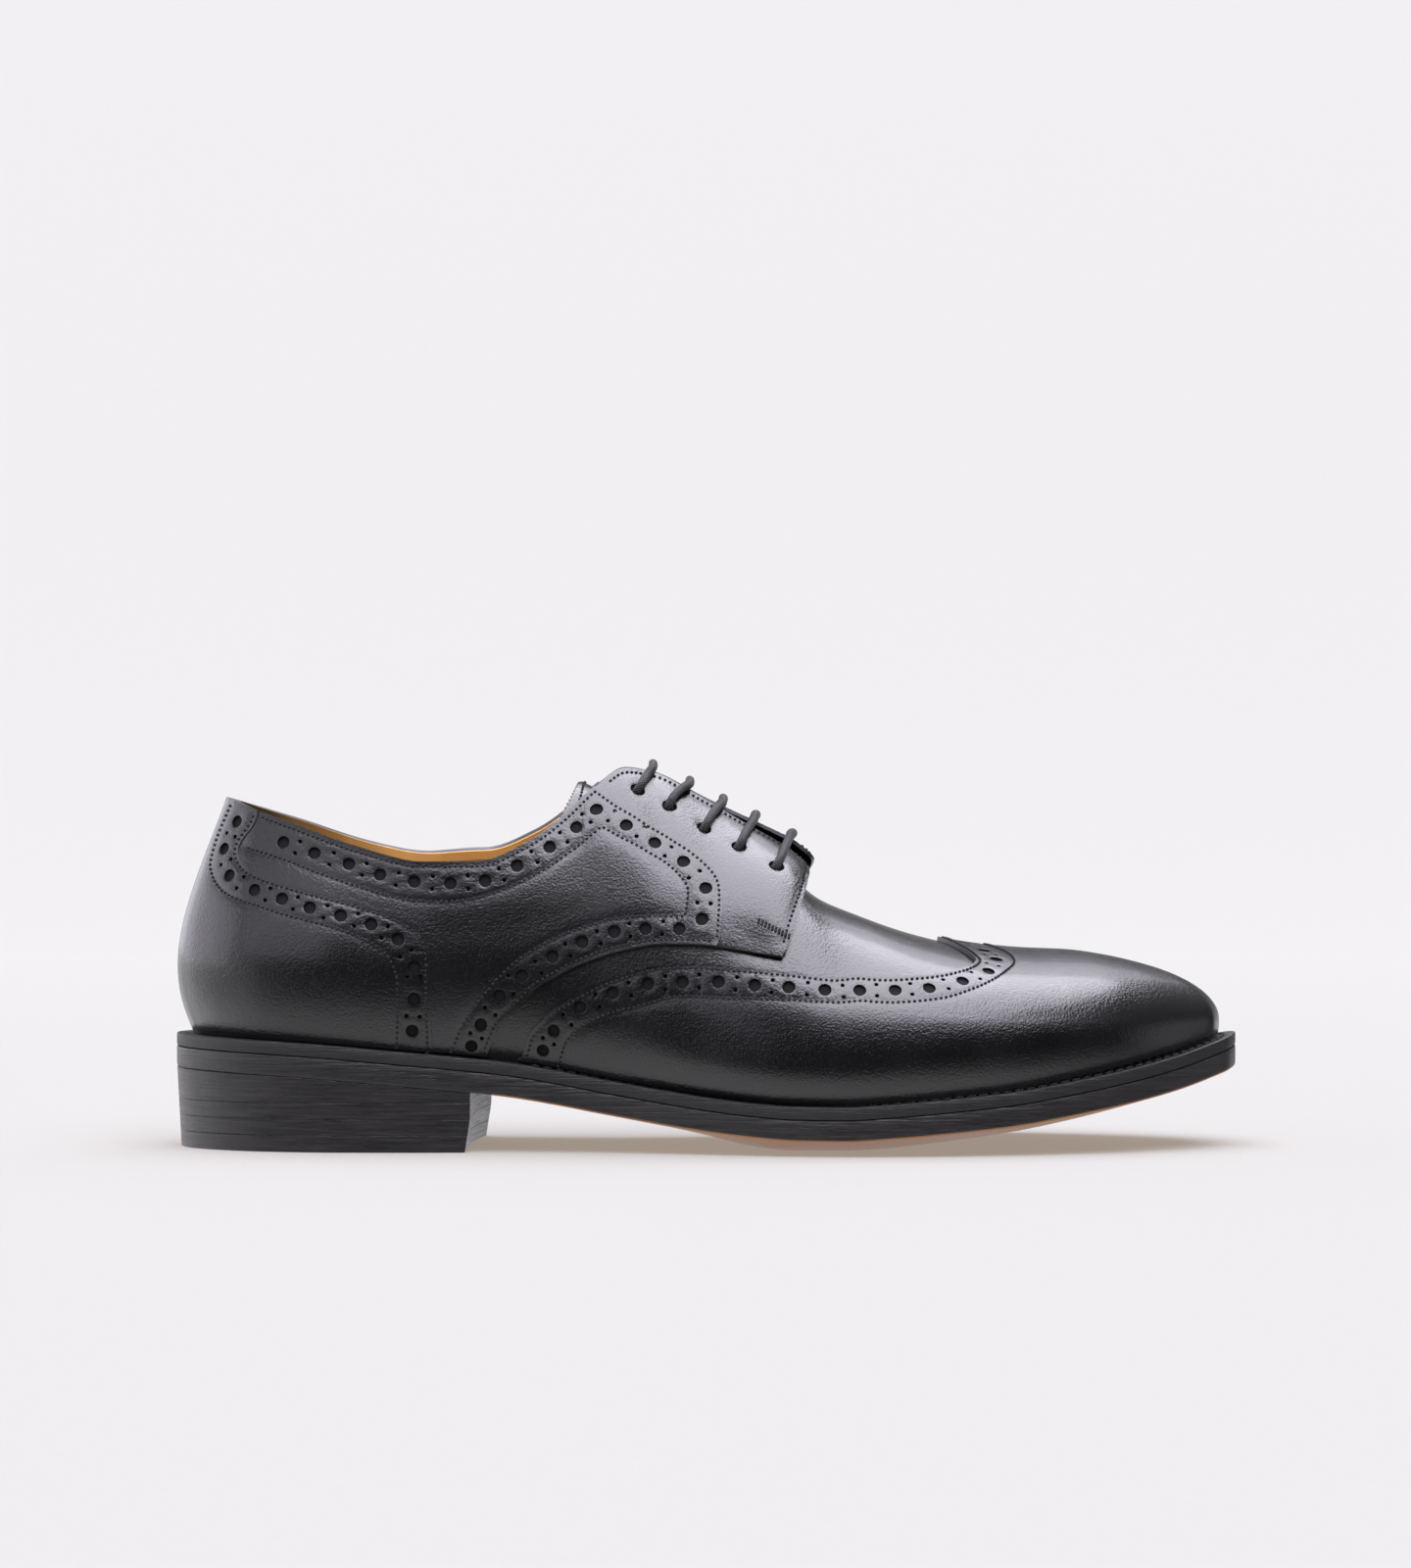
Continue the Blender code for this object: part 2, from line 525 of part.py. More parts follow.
def lace_bar(name, row, mat, collection):
    """Straight bar of the lace from eyelet to eyelet over the throat."""
    s, v, edge_s = row
    radius = LACE_DIAMETER / 2

    def over_facing(side, share):
        place = (s + (edge_s - s) * share, side, v + (2.0 - v) * share)
        point = last_point(*place)
        return point + last_normal(*place) * (FACING_HEIGHT + facing_lift(point) + radius + 2 * GAP)

    outer = [over_facing(-1, share) for share in (0.0, 0.5, 1.0)]
    inner = [over_facing(1, share) for share in (1.0, 0.5, 0.0)]
    middle = outer[-1].lerp(inner[0], 0.5) + Vector((0.0, 0.0, BAR_ARCH))
    path = outer + [middle] + inner
    curve = bpy.data.curves.new(name, "CURVE")
    curve.dimensions = "3D"
    curve.bevel_depth = radius * MM
    curve.bevel_resolution = 1
    curve.resolution_u = 1
    curve.use_fill_caps = True
    spline = curve.splines.new("BEZIER")
    spline.bezier_points.add(len(path) - 1)
    for knot, point in zip(spline.bezier_points, path):
        knot.co = point * MM
        knot.handle_left_type = "AUTO"
        knot.handle_right_type = "AUTO"
    source = bpy.data.objects.new(name + "_path", curve)
    collection.objects.link(source)
    depsgraph = bpy.context.evaluated_depsgraph_get()
    mesh = bpy.data.meshes.new_from_object(source.evaluated_get(depsgraph))
    bpy.data.objects.remove(source, do_unlink=True)
    bm = bmesh.new()
    bm.from_mesh(mesh)
    bmesh.ops.remove_doubles(bm, verts=bm.verts, dist=0.00001)
    bmesh.ops.recalc_face_normals(bm, faces=bm.faces)
    bmesh.ops.scale(bm, vec=(1 / MM, 1 / MM, 1 / MM), verts=bm.verts)
    return add_object(name, bm, mat, collection)


def main():
    for obj in list(bpy.data.objects):
        bpy.data.objects.remove(obj, do_unlink=True)
    parts = bpy.data.collections.new("wingtip_derby_shoe")
    cutters = bpy.data.collections.new("cutters")
    bpy.context.scene.collection.children.link(parts)
    bpy.context.scene.collection.children.link(cutters)

    calf = material("black_calf", (0.018, 0.018, 0.020), 0.32)
    edge = material("black_edge", (0.025, 0.024, 0.024), 0.45)
    tan = material("tan_sole_leather", (0.42, 0.24, 0.11), 0.55)
    cord = material("waxed_lace", (0.020, 0.020, 0.021), 0.60)

    side_height = EDGE_HEIGHT - WELT_THICKNESS - GAP
    rim = ((EDGE_ROUND, 0.0), (0.0, EDGE_ROUND), (0.0, side_height - EDGE_ROUND), (EDGE_ROUND, side_height))
    plate("outsole", rim, outsole_top, tread, tan, parts)
    welt_ring(edge, parts)
    bed_rim = ((INSOLE_INSET, 0.0), (INSOLE_INSET, WELT_THICKNESS + INSOLE_ABOVE_WELT))
    plate("insole", bed_rim, insole_top, insole_bottom, tan, parts)
    for name, low, high in HEEL_LAYERS:
        heel_layer(name, low, high, edge, parts)

    pins = eyelet_cutter(cutters)
    upper = shell("upper", last_surface(), WALL, -1.0, calf, parts)
    boolean(upper, pins, "DIFFERENCE")

    out = CUT_REACH
    wing_top = ((WING_EDGE[-1][0], CUT_TOP), (out, CUT_TOP))
    wing = WING_EDGE + wing_top + above_welt(out, WING_TAIL_X)
    panel("wing_cap", wing, (-out, out), WING_HEIGHT, calf, parts, cutters)
    heel = COUNTER_EDGE + ((-out, CUT_TOP),) + above_welt(-out, COUNTER_FRONT_X)
    panel("counter", heel, (-out, out), COUNTER_HEIGHT, calf, parts, cutters)
    quarter_rear = above_welt(QUARTER_HEEL_X, COUNTER_FRONT_X + GAP) + shifted(COUNTER_EDGE, GAP)
    quarter = QUARTER_FRONT + QUARTER_FOOT + quarter_rear + ((QUARTER_FRONT[0][0], COUNTER_EDGE[-1][1]),)
    facing_top = ((FACING_FRONT[-1][0], CUT_TOP), (QUARTER_FRONT[0][0] + GAP, CUT_TOP))
    facing = shifted(QUARTER_FRONT, GAP) + FACING_FOOT + FACING_FRONT + facing_top
    for name, side in (("lateral", -1), ("medial", 1)):
        panel("quarter_" + name, quarter, (0.0, side * out), QUARTER_HEIGHT, calf, parts, cutters)
        inner = RIDGE_Y + side * FACING_FROM_RIDGE
        flap = panel("facing_" + name, facing, (inner, side * out), FACING_HEIGHT, calf, parts, cutters,
                     facing_lift)
        boolean(flap, pins, "DIFFERENCE")

    tongue(calf, parts)
    for number, row in enumerate(EYELETS, 1):
        lace_bar("lace_bar_%d" % number, row, cord, parts)

    for obj in cutters.objects:
        obj.hide_render = True
        obj.display_type = "WIRE"


main()
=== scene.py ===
# %% [markdown]
# # A wingtip derby shoe in black calf
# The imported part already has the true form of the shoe: sole, heel, hollow upper and its panels as
# plain solids. This lesson dresses that form. Every finer piece is worked out from the same last
# surface, so that it lands exactly where the plain solid was.

import json
import math

import bmesh
import bpy
import numpy as np
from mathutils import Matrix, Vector, kdtree
from mathutils.geometry import delaunay_2d_cdt

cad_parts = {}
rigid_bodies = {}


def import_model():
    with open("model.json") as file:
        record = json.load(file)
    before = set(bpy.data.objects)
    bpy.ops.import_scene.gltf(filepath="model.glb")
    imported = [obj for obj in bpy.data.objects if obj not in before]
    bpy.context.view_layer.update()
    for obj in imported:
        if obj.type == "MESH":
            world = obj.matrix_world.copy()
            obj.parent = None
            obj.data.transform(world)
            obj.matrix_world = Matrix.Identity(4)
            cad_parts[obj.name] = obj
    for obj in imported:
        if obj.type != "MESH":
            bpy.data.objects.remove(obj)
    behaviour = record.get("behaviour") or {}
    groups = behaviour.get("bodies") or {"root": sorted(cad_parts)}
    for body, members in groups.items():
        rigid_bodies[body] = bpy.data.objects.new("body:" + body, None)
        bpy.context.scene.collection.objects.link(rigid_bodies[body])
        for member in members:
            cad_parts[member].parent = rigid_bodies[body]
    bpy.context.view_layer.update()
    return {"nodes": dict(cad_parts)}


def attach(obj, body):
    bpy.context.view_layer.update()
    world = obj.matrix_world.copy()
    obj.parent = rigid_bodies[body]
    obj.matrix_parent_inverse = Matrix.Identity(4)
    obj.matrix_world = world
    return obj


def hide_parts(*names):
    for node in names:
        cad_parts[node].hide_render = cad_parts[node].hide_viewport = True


for spare in list(bpy.data.objects):
    bpy.data.objects.remove(spare)
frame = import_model()
nodes = frame["nodes"]
MM = 0.001
print("nodes in the part:", len(nodes))

# %% [markdown]
# ## The last
# A shoe is built over a last, a wooden foot. Here it is a table with one row per rib, from the heel
# back to the toe tip: where the sole edge runs, how far inside it the upper starts, where it is
# widest, and where it ends at the collar, the throat or the ridge. A smooth curve through each
# column gives the ribs between the rows.

# %% The table of ribs
RIB_COLUMNS = ("sole_x", "sole_lat", "sole_med", "spine_x", "inset", "out_lat", "out_med", "up",
               "top_x", "ridge_y", "half_gap", "top_z", "med_rise", "lean", "rise", "roll")
RIBS = np.array((
    (-150.0, 0.0, 0.0, -118, 7.2, 4.7, 4.7, 19.0, -133.8, 0.0, 0.0, 97.6, 0.0, 71, 0.30, 0.30),
    (-147.6, 11.0, 11.0, -117, 7.1, 4.6, 4.6, 19.0, -132.4, 0.0, 6.2, 97.1, 0.0, 73, 0.30, 0.30),
    (-140.0, 20.5, 20.5, -114, 6.9, 4.5, 4.5, 19.0, -127.6, 0.0, 12.0, 95.2, 0.2, 75, 0.30, 0.30),
    (-124.0, 29.8, 29.8, -108, 6.4, 4.3, 4.3, 19.0, -115.5, 0.0, 18.8, 90.8, 0.7, 76, 0.30, 0.30),
    (-102.0, 34.2, 34.2, -96, 5.8, 4.2, 4.4, 20.0, -97.0, 0.1, 24.6, 84.3, 1.0, 76, 0.30, 0.30),
    (-82.0, 34.7, 35.4, -80, 5.4, 4.3, 5.0, 21.0, -79.0, 0.2, 27.8, 80.1, 2.2, 75, 0.30, 0.30),
    (-62.0, 34.0, 35.2, -61, 5.0, 4.6, 6.0, 22.0, -64.0, 0.4, 28.4, 80.0, 3.2, 71, 0.30, 0.30),
    (-45.0, 34.6, 32.8, -45, 4.6, 5.0, 7.5, 21.5, -50.0, 0.6, 26.8, 85.3, 2.8, 65, 0.31, 0.30),
    (-32.0, 36.0, 30.6, -32, 4.3, 5.0, 8.5, 20.0, -39.5, 0.8, 23.2, 92.8, 2.2, 57, 0.33, 0.30),
    (-22.0, 37.6, 29.7, -22, 4.2, 5.0, 9.0, 18.0, -31.0, 0.9, 19.0, 100.6, 1.2, 48, 0.35, 0.30),
    (-12.0, 39.8, 29.9, -12, 4.2, 5.0, 9.0, 15.5, -23.5, 1.0, 13.4, 105.6, 0.5, 42, 0.37, 0.30),
    (-2.0, 42.4, 31.2, -2, 4.2, 4.8, 8.5, 13.2, -15.5, 1.0, 9.4, 104.4, 0.3, 38, 0.38, 0.30),
    (10.0, 45.9, 33.6, 10, 4.2, 4.5, 7.5, 11.8, -3.0, 1.0, 9.0, 97.9, 0.3, 36, 0.38, 0.30),
    (23.0, 49.1, 38.3, 23, 4.3, 3.8, 6.2, 11.0, 9.0, 1.0, 9.0, 90.0, 0.3, 32, 0.38, 0.32),
    (35.0, 50.8, 43.6, 35, 4.4, 3.3, 4.8, 10.7, 20.0, 1.1, 7.6, 80.4, 0.2, 24, 0.38, 0.35),
    (45.0, 51.2, 47.2, 45, 4.5, 2.9, 3.9, 10.8, 28.5, 1.3, 0.0, 71.0, 0.0, 6, 0.38, 0.40),
    (56.0, 50.9, 50.2, 56, 4.6, 2.8, 3.2, 11.0, 42.0, 1.7, 0.0, 64.9, 0.0, 4, 0.38, 0.42),
    (70.0, 49.0, 51.2, 70, 4.7, 2.7, 2.8, 11.2, 58.0, 2.3, 0.0, 59.4, 0.0, 3, 0.37, 0.43),
    (85.0, 46.0, 49.9, 85, 4.9, 2.5, 2.5, 11.0, 74.0, 2.9, 0.0, 55.9, 0.0, 3, 0.35, 0.43),
    (100.0, 41.4, 46.4, 97, 5.2, 2.3, 2.3, 10.2, 89.0, 3.4, 0.0, 54.4, 0.0, 3, 0.33, 0.43),
    (115.0, 35.4, 41.2, 106, 5.6, 1.8, 1.8, 8.5, 102.0, 3.8, 0.0, 53.8, 0.0, 4, 0.32, 0.43),
    (129.0, 26.6, 33.8, 112, 6.0, 1.3, 1.3, 7.0, 112.0, 4.0, 0.0, 52.4, 0.0, 6, 0.30, 0.43),
    (140.0, 16.8, 24.8, 116, 6.3, 0.9, 0.9, 5.8, 119.5, 4.1, 0.0, 50.8, 0.0, 10, 0.28, 0.43),
    (147.4, 7.4, 15.6, 118, 6.5, 0.7, 0.7, 5.2, 123.6, 4.1, 0.0, 49.7, 0.0, 14, 0.26, 0.43),
    (150.0, -4.1, 4.1, 119, 6.5, 0.6, 0.6, 5.0, 125.0, 4.1, 0.0, 49.3, 0.0, 16, 0.26, 0.43),
))
ODD_COLUMNS = ("sole_lat", "sole_med", "half_gap")
LAST_RIB = len(RIBS) - 1
RIDGE_RIB = 15
PROFILE_COLUMNS = ("x", "welt_top", "crown")
PROFILE = np.array((
    (-150, 32.0, 0.0), (-112, 30.2, 0.0), (-89, 28.3, 0.0), (-65, 26.1, 0.0), (-55, 25.0, 0.4),
    (-42, 22.9, 1.0), (-29, 20.5, 1.2), (-9, 17.2, 1.8), (0, 15.9, 2.6), (12, 14.6, 4.4),
    (24, 13.8, 5.0), (38, 13.7, 5.0), (50, 14.4, 5.2), (68, 15.9, 4.6), (84, 17.5, 3.9),
    (101, 20.2, 3.2), (118, 23.4, 2.0), (132, 26.6, 1.0), (143, 29.8, 0.3), (150, 32.0, 0.0),
))
GAP = 0.3
WALL = 1.6
FOOT_SWING, WIDE_SWING = 0.3, 0.45
RIDGE_START, RIDGE_BLEND = 1.88, 0.12


def monotone(keys, values, at, odd_ends):
    """Smooth curve through the values that never swings past them."""
    at = np.clip(np.asarray(at, float), keys[0], keys[-1])
    span = np.diff(keys)
    steps = np.diff(values) / span
    slope = np.zeros(len(values))
    before, after = steps[:-1], steps[1:]
    same = before * after > 0
    slope[1:-1][same] = 2 * before[same] * after[same] / (before[same] + after[same])
    if odd_ends:
        slope[0], slope[-1] = steps[0], steps[-1]
    i = np.clip(np.searchsorted(keys, at, side="right") - 1, 0, len(span) - 1)
    t = (at - keys[i]) / span[i]
    a, b, da, db = values[i], values[i + 1], slope[i] * span[i], slope[i + 1] * span[i]
    return (a * (1 + 2 * t) + da * t) * (1 - t) ** 2 + (b * (3 - 2 * t) - db * (1 - t)) * t * t


def rib(s, name):
    """A column of the table at rib position s."""
    values = RIBS[:, RIB_COLUMNS.index(name)]
    return monotone(np.arange(len(RIBS), dtype=float), values, s, name in ODD_COLUMNS)


def profile(x, name):
    """A column of the side profile at x."""
    return monotone(PROFILE[:, 0], PROFILE[:, PROFILE_COLUMNS.index(name)], x, True)


# %% [markdown]
# ## From ribs to a surface
# Each rib starts on the feather line just above the welt, swings out to the widest point and rolls
# over to the top. The functions take whole arrays, so that thousands of points cost one call.
# Positions on the surface are (s, v): s counts ribs, v runs 0 to 1 up to the widest point and 1 to 2
# from there to the top.

# %% The last surface
def stack(*parts):
    """Columns side by side as rows of points."""
    return np.stack(np.broadcast_arrays(*parts), axis=-1)


def edge_point(s, side):
    """Sole edge in plan."""
    half = np.where(side < 0, rib(s, "sole_lat"), rib(s, "sole_med"))
    return stack(rib(s, "sole_x"), side * half, np.zeros_like(half))


def edge_normal(s, side):
    """Outward direction of the sole edge in plan."""
    step = 0.05
    along = edge_point(np.minimum(s + step, LAST_RIB), side) - edge_point(np.maximum(s - step, 0), side)
    out = stack(-side * along[..., 1], side * along[..., 0], np.zeros_like(along[..., 0]))
    out = np.where((s <= 0)[..., None], (-1.0, 0.0, 0.0), out)
    out = np.where((s >= LAST_RIB)[..., None], (1.0, 0.0, 0.0), out)
    return out / np.linalg.norm(out, axis=-1, keepdims=True)


def inset_point(s, side, inset):
    """Point inside the sole edge by some millimetres."""
    return edge_point(s, side) - edge_normal(s, side) * np.asarray(inset)[..., None]


def last_point(s, side, v):
    """Point of the last surface."""
    s, side, v = np.broadcast_arrays(np.asarray(s, float), np.asarray(side, float), np.asarray(v, float))
    feather = inset_point(s, side, rib(s, "inset"))
    feather[..., 2] = profile(feather[..., 0], "welt_top") + GAP
    out = np.where(side < 0, rib(s, "out_lat"), rib(s, "out_med"))
    wide = feather + edge_normal(s, side) * out[..., None]
    wide[..., 2] += rib(s, "up")
    top = stack(rib(s, "top_x"), rib(s, "ridge_y") + side * rib(s, "half_gap"),
                rib(s, "top_z") + np.where(side > 0, rib(s, "med_rise"), 0.0))
    rise = wide[..., 2] - feather[..., 2]
    low_start = 0.5 * (feather + wide)
    low_start[..., 2] = feather[..., 2] + FOOT_SWING * rise
    low_end = wide.copy()
    low_end[..., 2] -= WIDE_SWING * rise
    inward = (top - wide) * (1.0, 1.0, 0.0)
    inward /= np.linalg.norm(inward, axis=-1, keepdims=True)
    lean = np.radians(rib(s, "lean"))
    chord = np.linalg.norm(top - wide, axis=-1)
    high_start = wide.copy()
    high_start[..., 2] += rib(s, "rise") * chord
    slant = inward * np.cos(lean)[..., None] + stack(0.0, 0.0, np.sin(lean))
    high_end = top - slant * (rib(s, "roll") * chord)[..., None]
    low = (v <= 1.0)[..., None]
    t = np.where(v <= 1.0, v, v - 1.0)[..., None]
    a, b = np.where(low, feather, wide), np.where(low, low_start, high_start)
    c, d = np.where(low, low_end, high_end), np.where(low, wide, top)
    k = 1.0 - t
    return a * k ** 3 + b * (3 * k * k * t) + c * (3 * k * t * t) + d * t ** 3


def slopes(s, side, v):
    """How the surface point moves with s and with v."""
    ds, dv = 0.02, 0.01
    s0, s1 = np.maximum(s - ds, 0.0), np.minimum(s + ds, LAST_RIB)
    v0, v1 = np.maximum(v - dv, 0.0), np.minimum(v + dv, 2.0)
    along = (last_point(s1, side, v) - last_point(s0, side, v)) / (s1 - s0)[..., None]
    up = (last_point(s, side, v1) - last_point(s, side, v0)) / (v1 - v0)[..., None]
    return along, up


def unit(vectors):
    """Vectors of length one."""
    return vectors / np.maximum(np.linalg.norm(vectors, axis=-1, keepdims=True), 1e-9)


def raw_normal(s, side, v):
    """Outward direction of one side of the surface."""
    along, up = slopes(s, side, v)
    normal = np.cross(along, up) * -side[..., None]
    ends = ((s <= 0) | (s >= LAST_RIB))[..., None]
    return unit(np.where(ends, normal * (1.0, 0.0, 1.0), normal))


def last_normal(s, side, v):
    """Outward direction, the same from both sides where they meet on the ridge."""
    s, side, v = np.broadcast_arrays(np.asarray(s, float), np.asarray(side, float), np.asarray(v, float))
    own = raw_normal(s, side, v)
    top = np.full_like(v, 2.0)
    shared = raw_normal(s, -np.ones_like(s), top) + raw_normal(s, np.ones_like(s), top)
    near = np.clip((v - RIDGE_START) / RIDGE_BLEND, 0.0, 1.0) * (s >= RIDGE_RIB)
    near = (near * near * (3 - 2 * near))[..., None]
    return unit(own * (1 - near) + unit(shared) * near)


probe = last_point(np.array([0.0, 12.0, 24.0]), -1.0, np.array([2.0, 2.0, 1.0]))
print("collar back, throat edge, toe front in mm:", probe.round(1).tolist())

# %% [markdown]
# ## Laying the surface flat
# Panels are drawn on a flat pattern, as a shoemaker does. Its coordinates (a, b) are (s, v) stretched
# to about real millimetres. The outer side runs from 0 at the heel to TOE at the toe tip. Below 0 the
# pattern goes on round the heel, and past TOE round the toe, on to the inner side.

# %% The flat pattern
PER_RIB = 12.2
LOW_SIDE = 20.0
HIGH_SIDE = 58.0
TOE = LAST_RIB * PER_RIB


def flat(sv):
    """Flat pattern points from (s, v) rows on the outer side."""
    sv = np.asarray(sv, float)
    b = np.where(sv[:, 1] <= 1.0, sv[:, 1] * LOW_SIDE, LOW_SIDE + (sv[:, 1] - 1.0) * HIGH_SIDE)
    return np.stack((sv[:, 0] * PER_RIB, b), axis=-1)


def unflat(ab):
    """Rib position, side and height of flat pattern points."""
    a, b = ab[..., 0], ab[..., 1]
    s = np.where(a < 0, -a, np.where(a <= TOE, a, 2 * TOE - a)) / PER_RIB
    side = np.where((a < 0) | (a > TOE), 1.0, -1.0)
    v = np.where(b <= LOW_SIDE, b / LOW_SIDE, 1.0 + (b - LOW_SIDE) / HIGH_SIDE)
    return np.clip(s, 0.0, LAST_RIB), side, np.clip(v, 0.0, 2.0)


def frame_at(ab):
    """Point, outward direction and the two slopes of the flat pattern there."""
    s, side, v = unflat(ab)
    along, up = slopes(s, side, v)
    turned = np.where((ab[..., 0] < 0) | (ab[..., 0] > TOE), -1.0, 1.0)
    per_b = np.where(v <= 1.0, LOW_SIDE, HIGH_SIDE)
    return (last_point(s, side, v), last_normal(s, side, v),
            along * (turned / PER_RIB)[..., None], up / per_b[..., None])


def flat_step(ab, move):
    """Flat pattern step that moves a point by a small amount on the surface."""
    point, normal, da, db = frame_at(ab)
    aa, bb = (da * da).sum(-1), (db * db).sum(-1)
    cross = (da * db).sum(-1)
    ma, mb = (da * move).sum(-1), (db * move).sum(-1)
    det = aa * bb - cross * cross
    return np.stack(((ma * bb - mb * cross) / det, (mb * aa - ma * cross) / det), axis=-1)


def run_along(points):
    """Distance from the first point to each of the points, along their line."""
    return np.concatenate(([0.0], np.cumsum(np.linalg.norm(np.diff(points, axis=0), axis=1))))


def smooth_line(points, spacing):
    """Evenly spaced flat points on a soft curve through the given ones."""
    points = np.asarray(points, float)
    keys = run_along(points)
    ghost = np.vstack((2 * points[0] - points[1], points, 2 * points[-1] - points[-2]))
    tangent = (ghost[2:] - ghost[:-2])
    knots = np.concatenate(([-(keys[1])], keys, [2 * keys[-1] - keys[-2]]))
    tangent /= (knots[2:] - knots[:-2])[:, None]
    at = np.linspace(0.0, keys[-1], max(int(keys[-1] / 0.5), 8))
    i = np.clip(np.searchsorted(keys, at, side="right") - 1, 0, len(keys) - 2)
    span = (keys[i + 1] - keys[i])[:, None]
    t = (at - keys[i])[:, None] / span
    fine = (points[i] * (1 + 2 * t) * (1 - t) ** 2 + tangent[i] * span * t * (1 - t) ** 2
            + points[i + 1] * t * t * (3 - 2 * t) - tangent[i + 1] * span * t * t * (1 - t))
    return even_line(fine, spacing)


def even_line(fine, spacing):
    """The same flat line with points evenly spaced on the surface."""
    place = frame_at(fine)[0]
    run = run_along(place)
    count = max(int(round(run[-1] / spacing)), 2)
    goal = np.linspace(0.0, run[-1], count + 1)
    return np.stack((np.interp(goal, run, fine[:, 0]), np.interp(goal, run, fine[:, 1])), axis=-1)


def beside(line, distance):
    """Flat line moved sideways on the surface, to its left as seen from outside."""
    place, normal, da, db = frame_at(line)
    along = unit(np.gradient(place, axis=0))
    return line + flat_step(line, np.cross(normal, along) * distance)


def mirrored(line, round_toe=False):
    """The same line on the inner side of the shoe."""
    line = np.asarray(line, float)
    a = 2 * TOE - line[:, 0] if round_toe else -line[:, 0]
    return np.stack((a, line[:, 1]), axis=-1)


check_line = smooth_line(flat(((2.0, 1.2), (6.0, 1.3), (10.0, 1.2))), 2.0)
print("points on a test line:", len(check_line))

# %% [markdown]
# ## Helpers for making pieces
# A piece is a mesh worked out in millimetres, scaled to metres and given its material; the plain solid
# it stands for is hidden. Shading is smooth except across sharp edges.

# %% Making pieces
def add_piece(name, bm, materials, slot, *replaced, sharp=50.0):
    """Object of the shoe from a bmesh in millimetres."""
    bmesh.ops.scale(bm, vec=(MM, MM, MM), verts=bm.verts)
    mesh = bpy.data.meshes.new(name)
    bm.to_mesh(mesh)
    bm.free()
    mesh.shade_smooth()
    mesh.set_sharp_from_angle(angle=math.radians(sharp))
    for material in materials:
        mesh.materials.append(material)
    obj = bpy.data.objects.new(name, mesh)
    bpy.context.scene.collection.objects.link(obj)
    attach(obj, "root")
    if replaced:
        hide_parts(*replaced)
    print(name, "triangles:", sum(len(face.vertices) - 2 for face in mesh.polygons))
    return obj


def grid_mesh(places, weld=0.001):
    """Sheet of quads through a block of points, rows by columns, welded where they meet."""
    rows, columns = places.shape[:2]
    bm = bmesh.new()
    bmesh.ops.create_grid(bm, x_segments=columns - 1, y_segments=rows - 1, size=1.0)
    for vert in bm.verts:
        i = round((vert.co.x + 1.0) * 0.5 * (columns - 1))
        j = round((vert.co.y + 1.0) * 0.5 * (rows - 1))
        vert.co = places[j, i]
    bmesh.ops.remove_doubles(bm, verts=bm.verts, dist=weld)
    return bm


# %% [markdown]
# ## Soft relief
# Leather is never quite even. A few soft troughs and swells are added along the surface's own
# direction: a dent under the bar tack, slack in the quarter below the collar, the first faint folds
# where the vamp bends, and a fuller shoulder of the wing beside the ball. Each row gives the place
# (s, v), half length, half width, turn in degrees and height in millimetres.

# %% Creases and swells
CREASES = np.array((
    (12.47, 1.383, 7.0, 3.0, 15, -0.50), (9.61, 1.495, 16.0, 7.0, -30, -0.18),
    (7.60, 1.567, 18.0, 6.0, -18, 0.15), (6.30, 1.421, 20.0, 6.0, 8, -0.12),
    (14.90, 1.569, 16.0, 3.5, 100, -0.10), (15.60, 1.525, 15.0, 3.0, 98, -0.08),
    (11.40, 1.712, 12.0, 4.5, -35, 0.20), (4.30, 1.560, 16.0, 7.0, 10, -0.12),
    (13.42, 1.582, 9.0, 4.0, 70, -0.20),
    (14.00, 1.350, 32.0, 9.5, 2, -0.90), (14.20, 0.980, 36.0, 12.0, 2, 0.45),
))


def relief(ab):
    """Height of the creases and swells at flat pattern points."""
    a = np.where(ab[..., 0] < 0, -ab[..., 0], np.where(ab[..., 0] > TOE, 2 * TOE - ab[..., 0], ab[..., 0]))
    height = np.zeros(a.shape)
    for s, v, length, width, turn, depth in CREASES:
        centre = flat(((s, v),))[0]
        along = np.array((math.cos(math.radians(turn)), math.sin(math.radians(turn))))
        da, db = a - centre[0], ab[..., 1] - centre[1]
        run = (da * along[0] + db * along[1]) / length
        across = (db * along[0] - da * along[1]) / width
        height += depth * np.exp(-run * run - across * across)
    return height


FACING_CORNER = np.array((28.0, 0.0, 78.0))
CORNER_LIFT, CORNER_REACH = 4.6, 17.0
INNER_LIFT, INNER_START, INNER_FAR, INNER_FADE = 3.0, -8.0, 32.0, 22.0


def facing_lift(points):
    """How far the facing stands off the vamp near the throat's front, more on the inner side."""
    away = np.linalg.norm((points - FACING_CORNER) * (1.0, 0.0, 1.0), axis=-1)
    run = np.clip((points[..., 0] - INNER_START) / (FACING_CORNER[0] - INNER_START), 0.0, 1.0)
    near = np.clip((INNER_FAR - points[..., 1]) / INNER_FADE, 0.0, 1.0) * (points[..., 1] > 1.0)
    corner = CORNER_LIFT * np.exp(-(away / CORNER_REACH) ** 2)
    return corner + INNER_LIFT * run * run * (3 - 2 * run) * near


def skin(ab, height, lift=None):
    """Points at some height over the last surface, and the outward direction there."""
    point, normal, da, db = frame_at(ab)
    rise = height + relief(ab)
    if lift:
        rise = rise + lift(point)
    return point + normal * np.asarray(rise)[..., None], normal


# %% [markdown]
# ## Colours and materials
# Colours are given as they look on screen, in hex, and turned into linear light by one function.
# A second small function adds a shader node with its settings and links, so that each material
# reads as a short list.

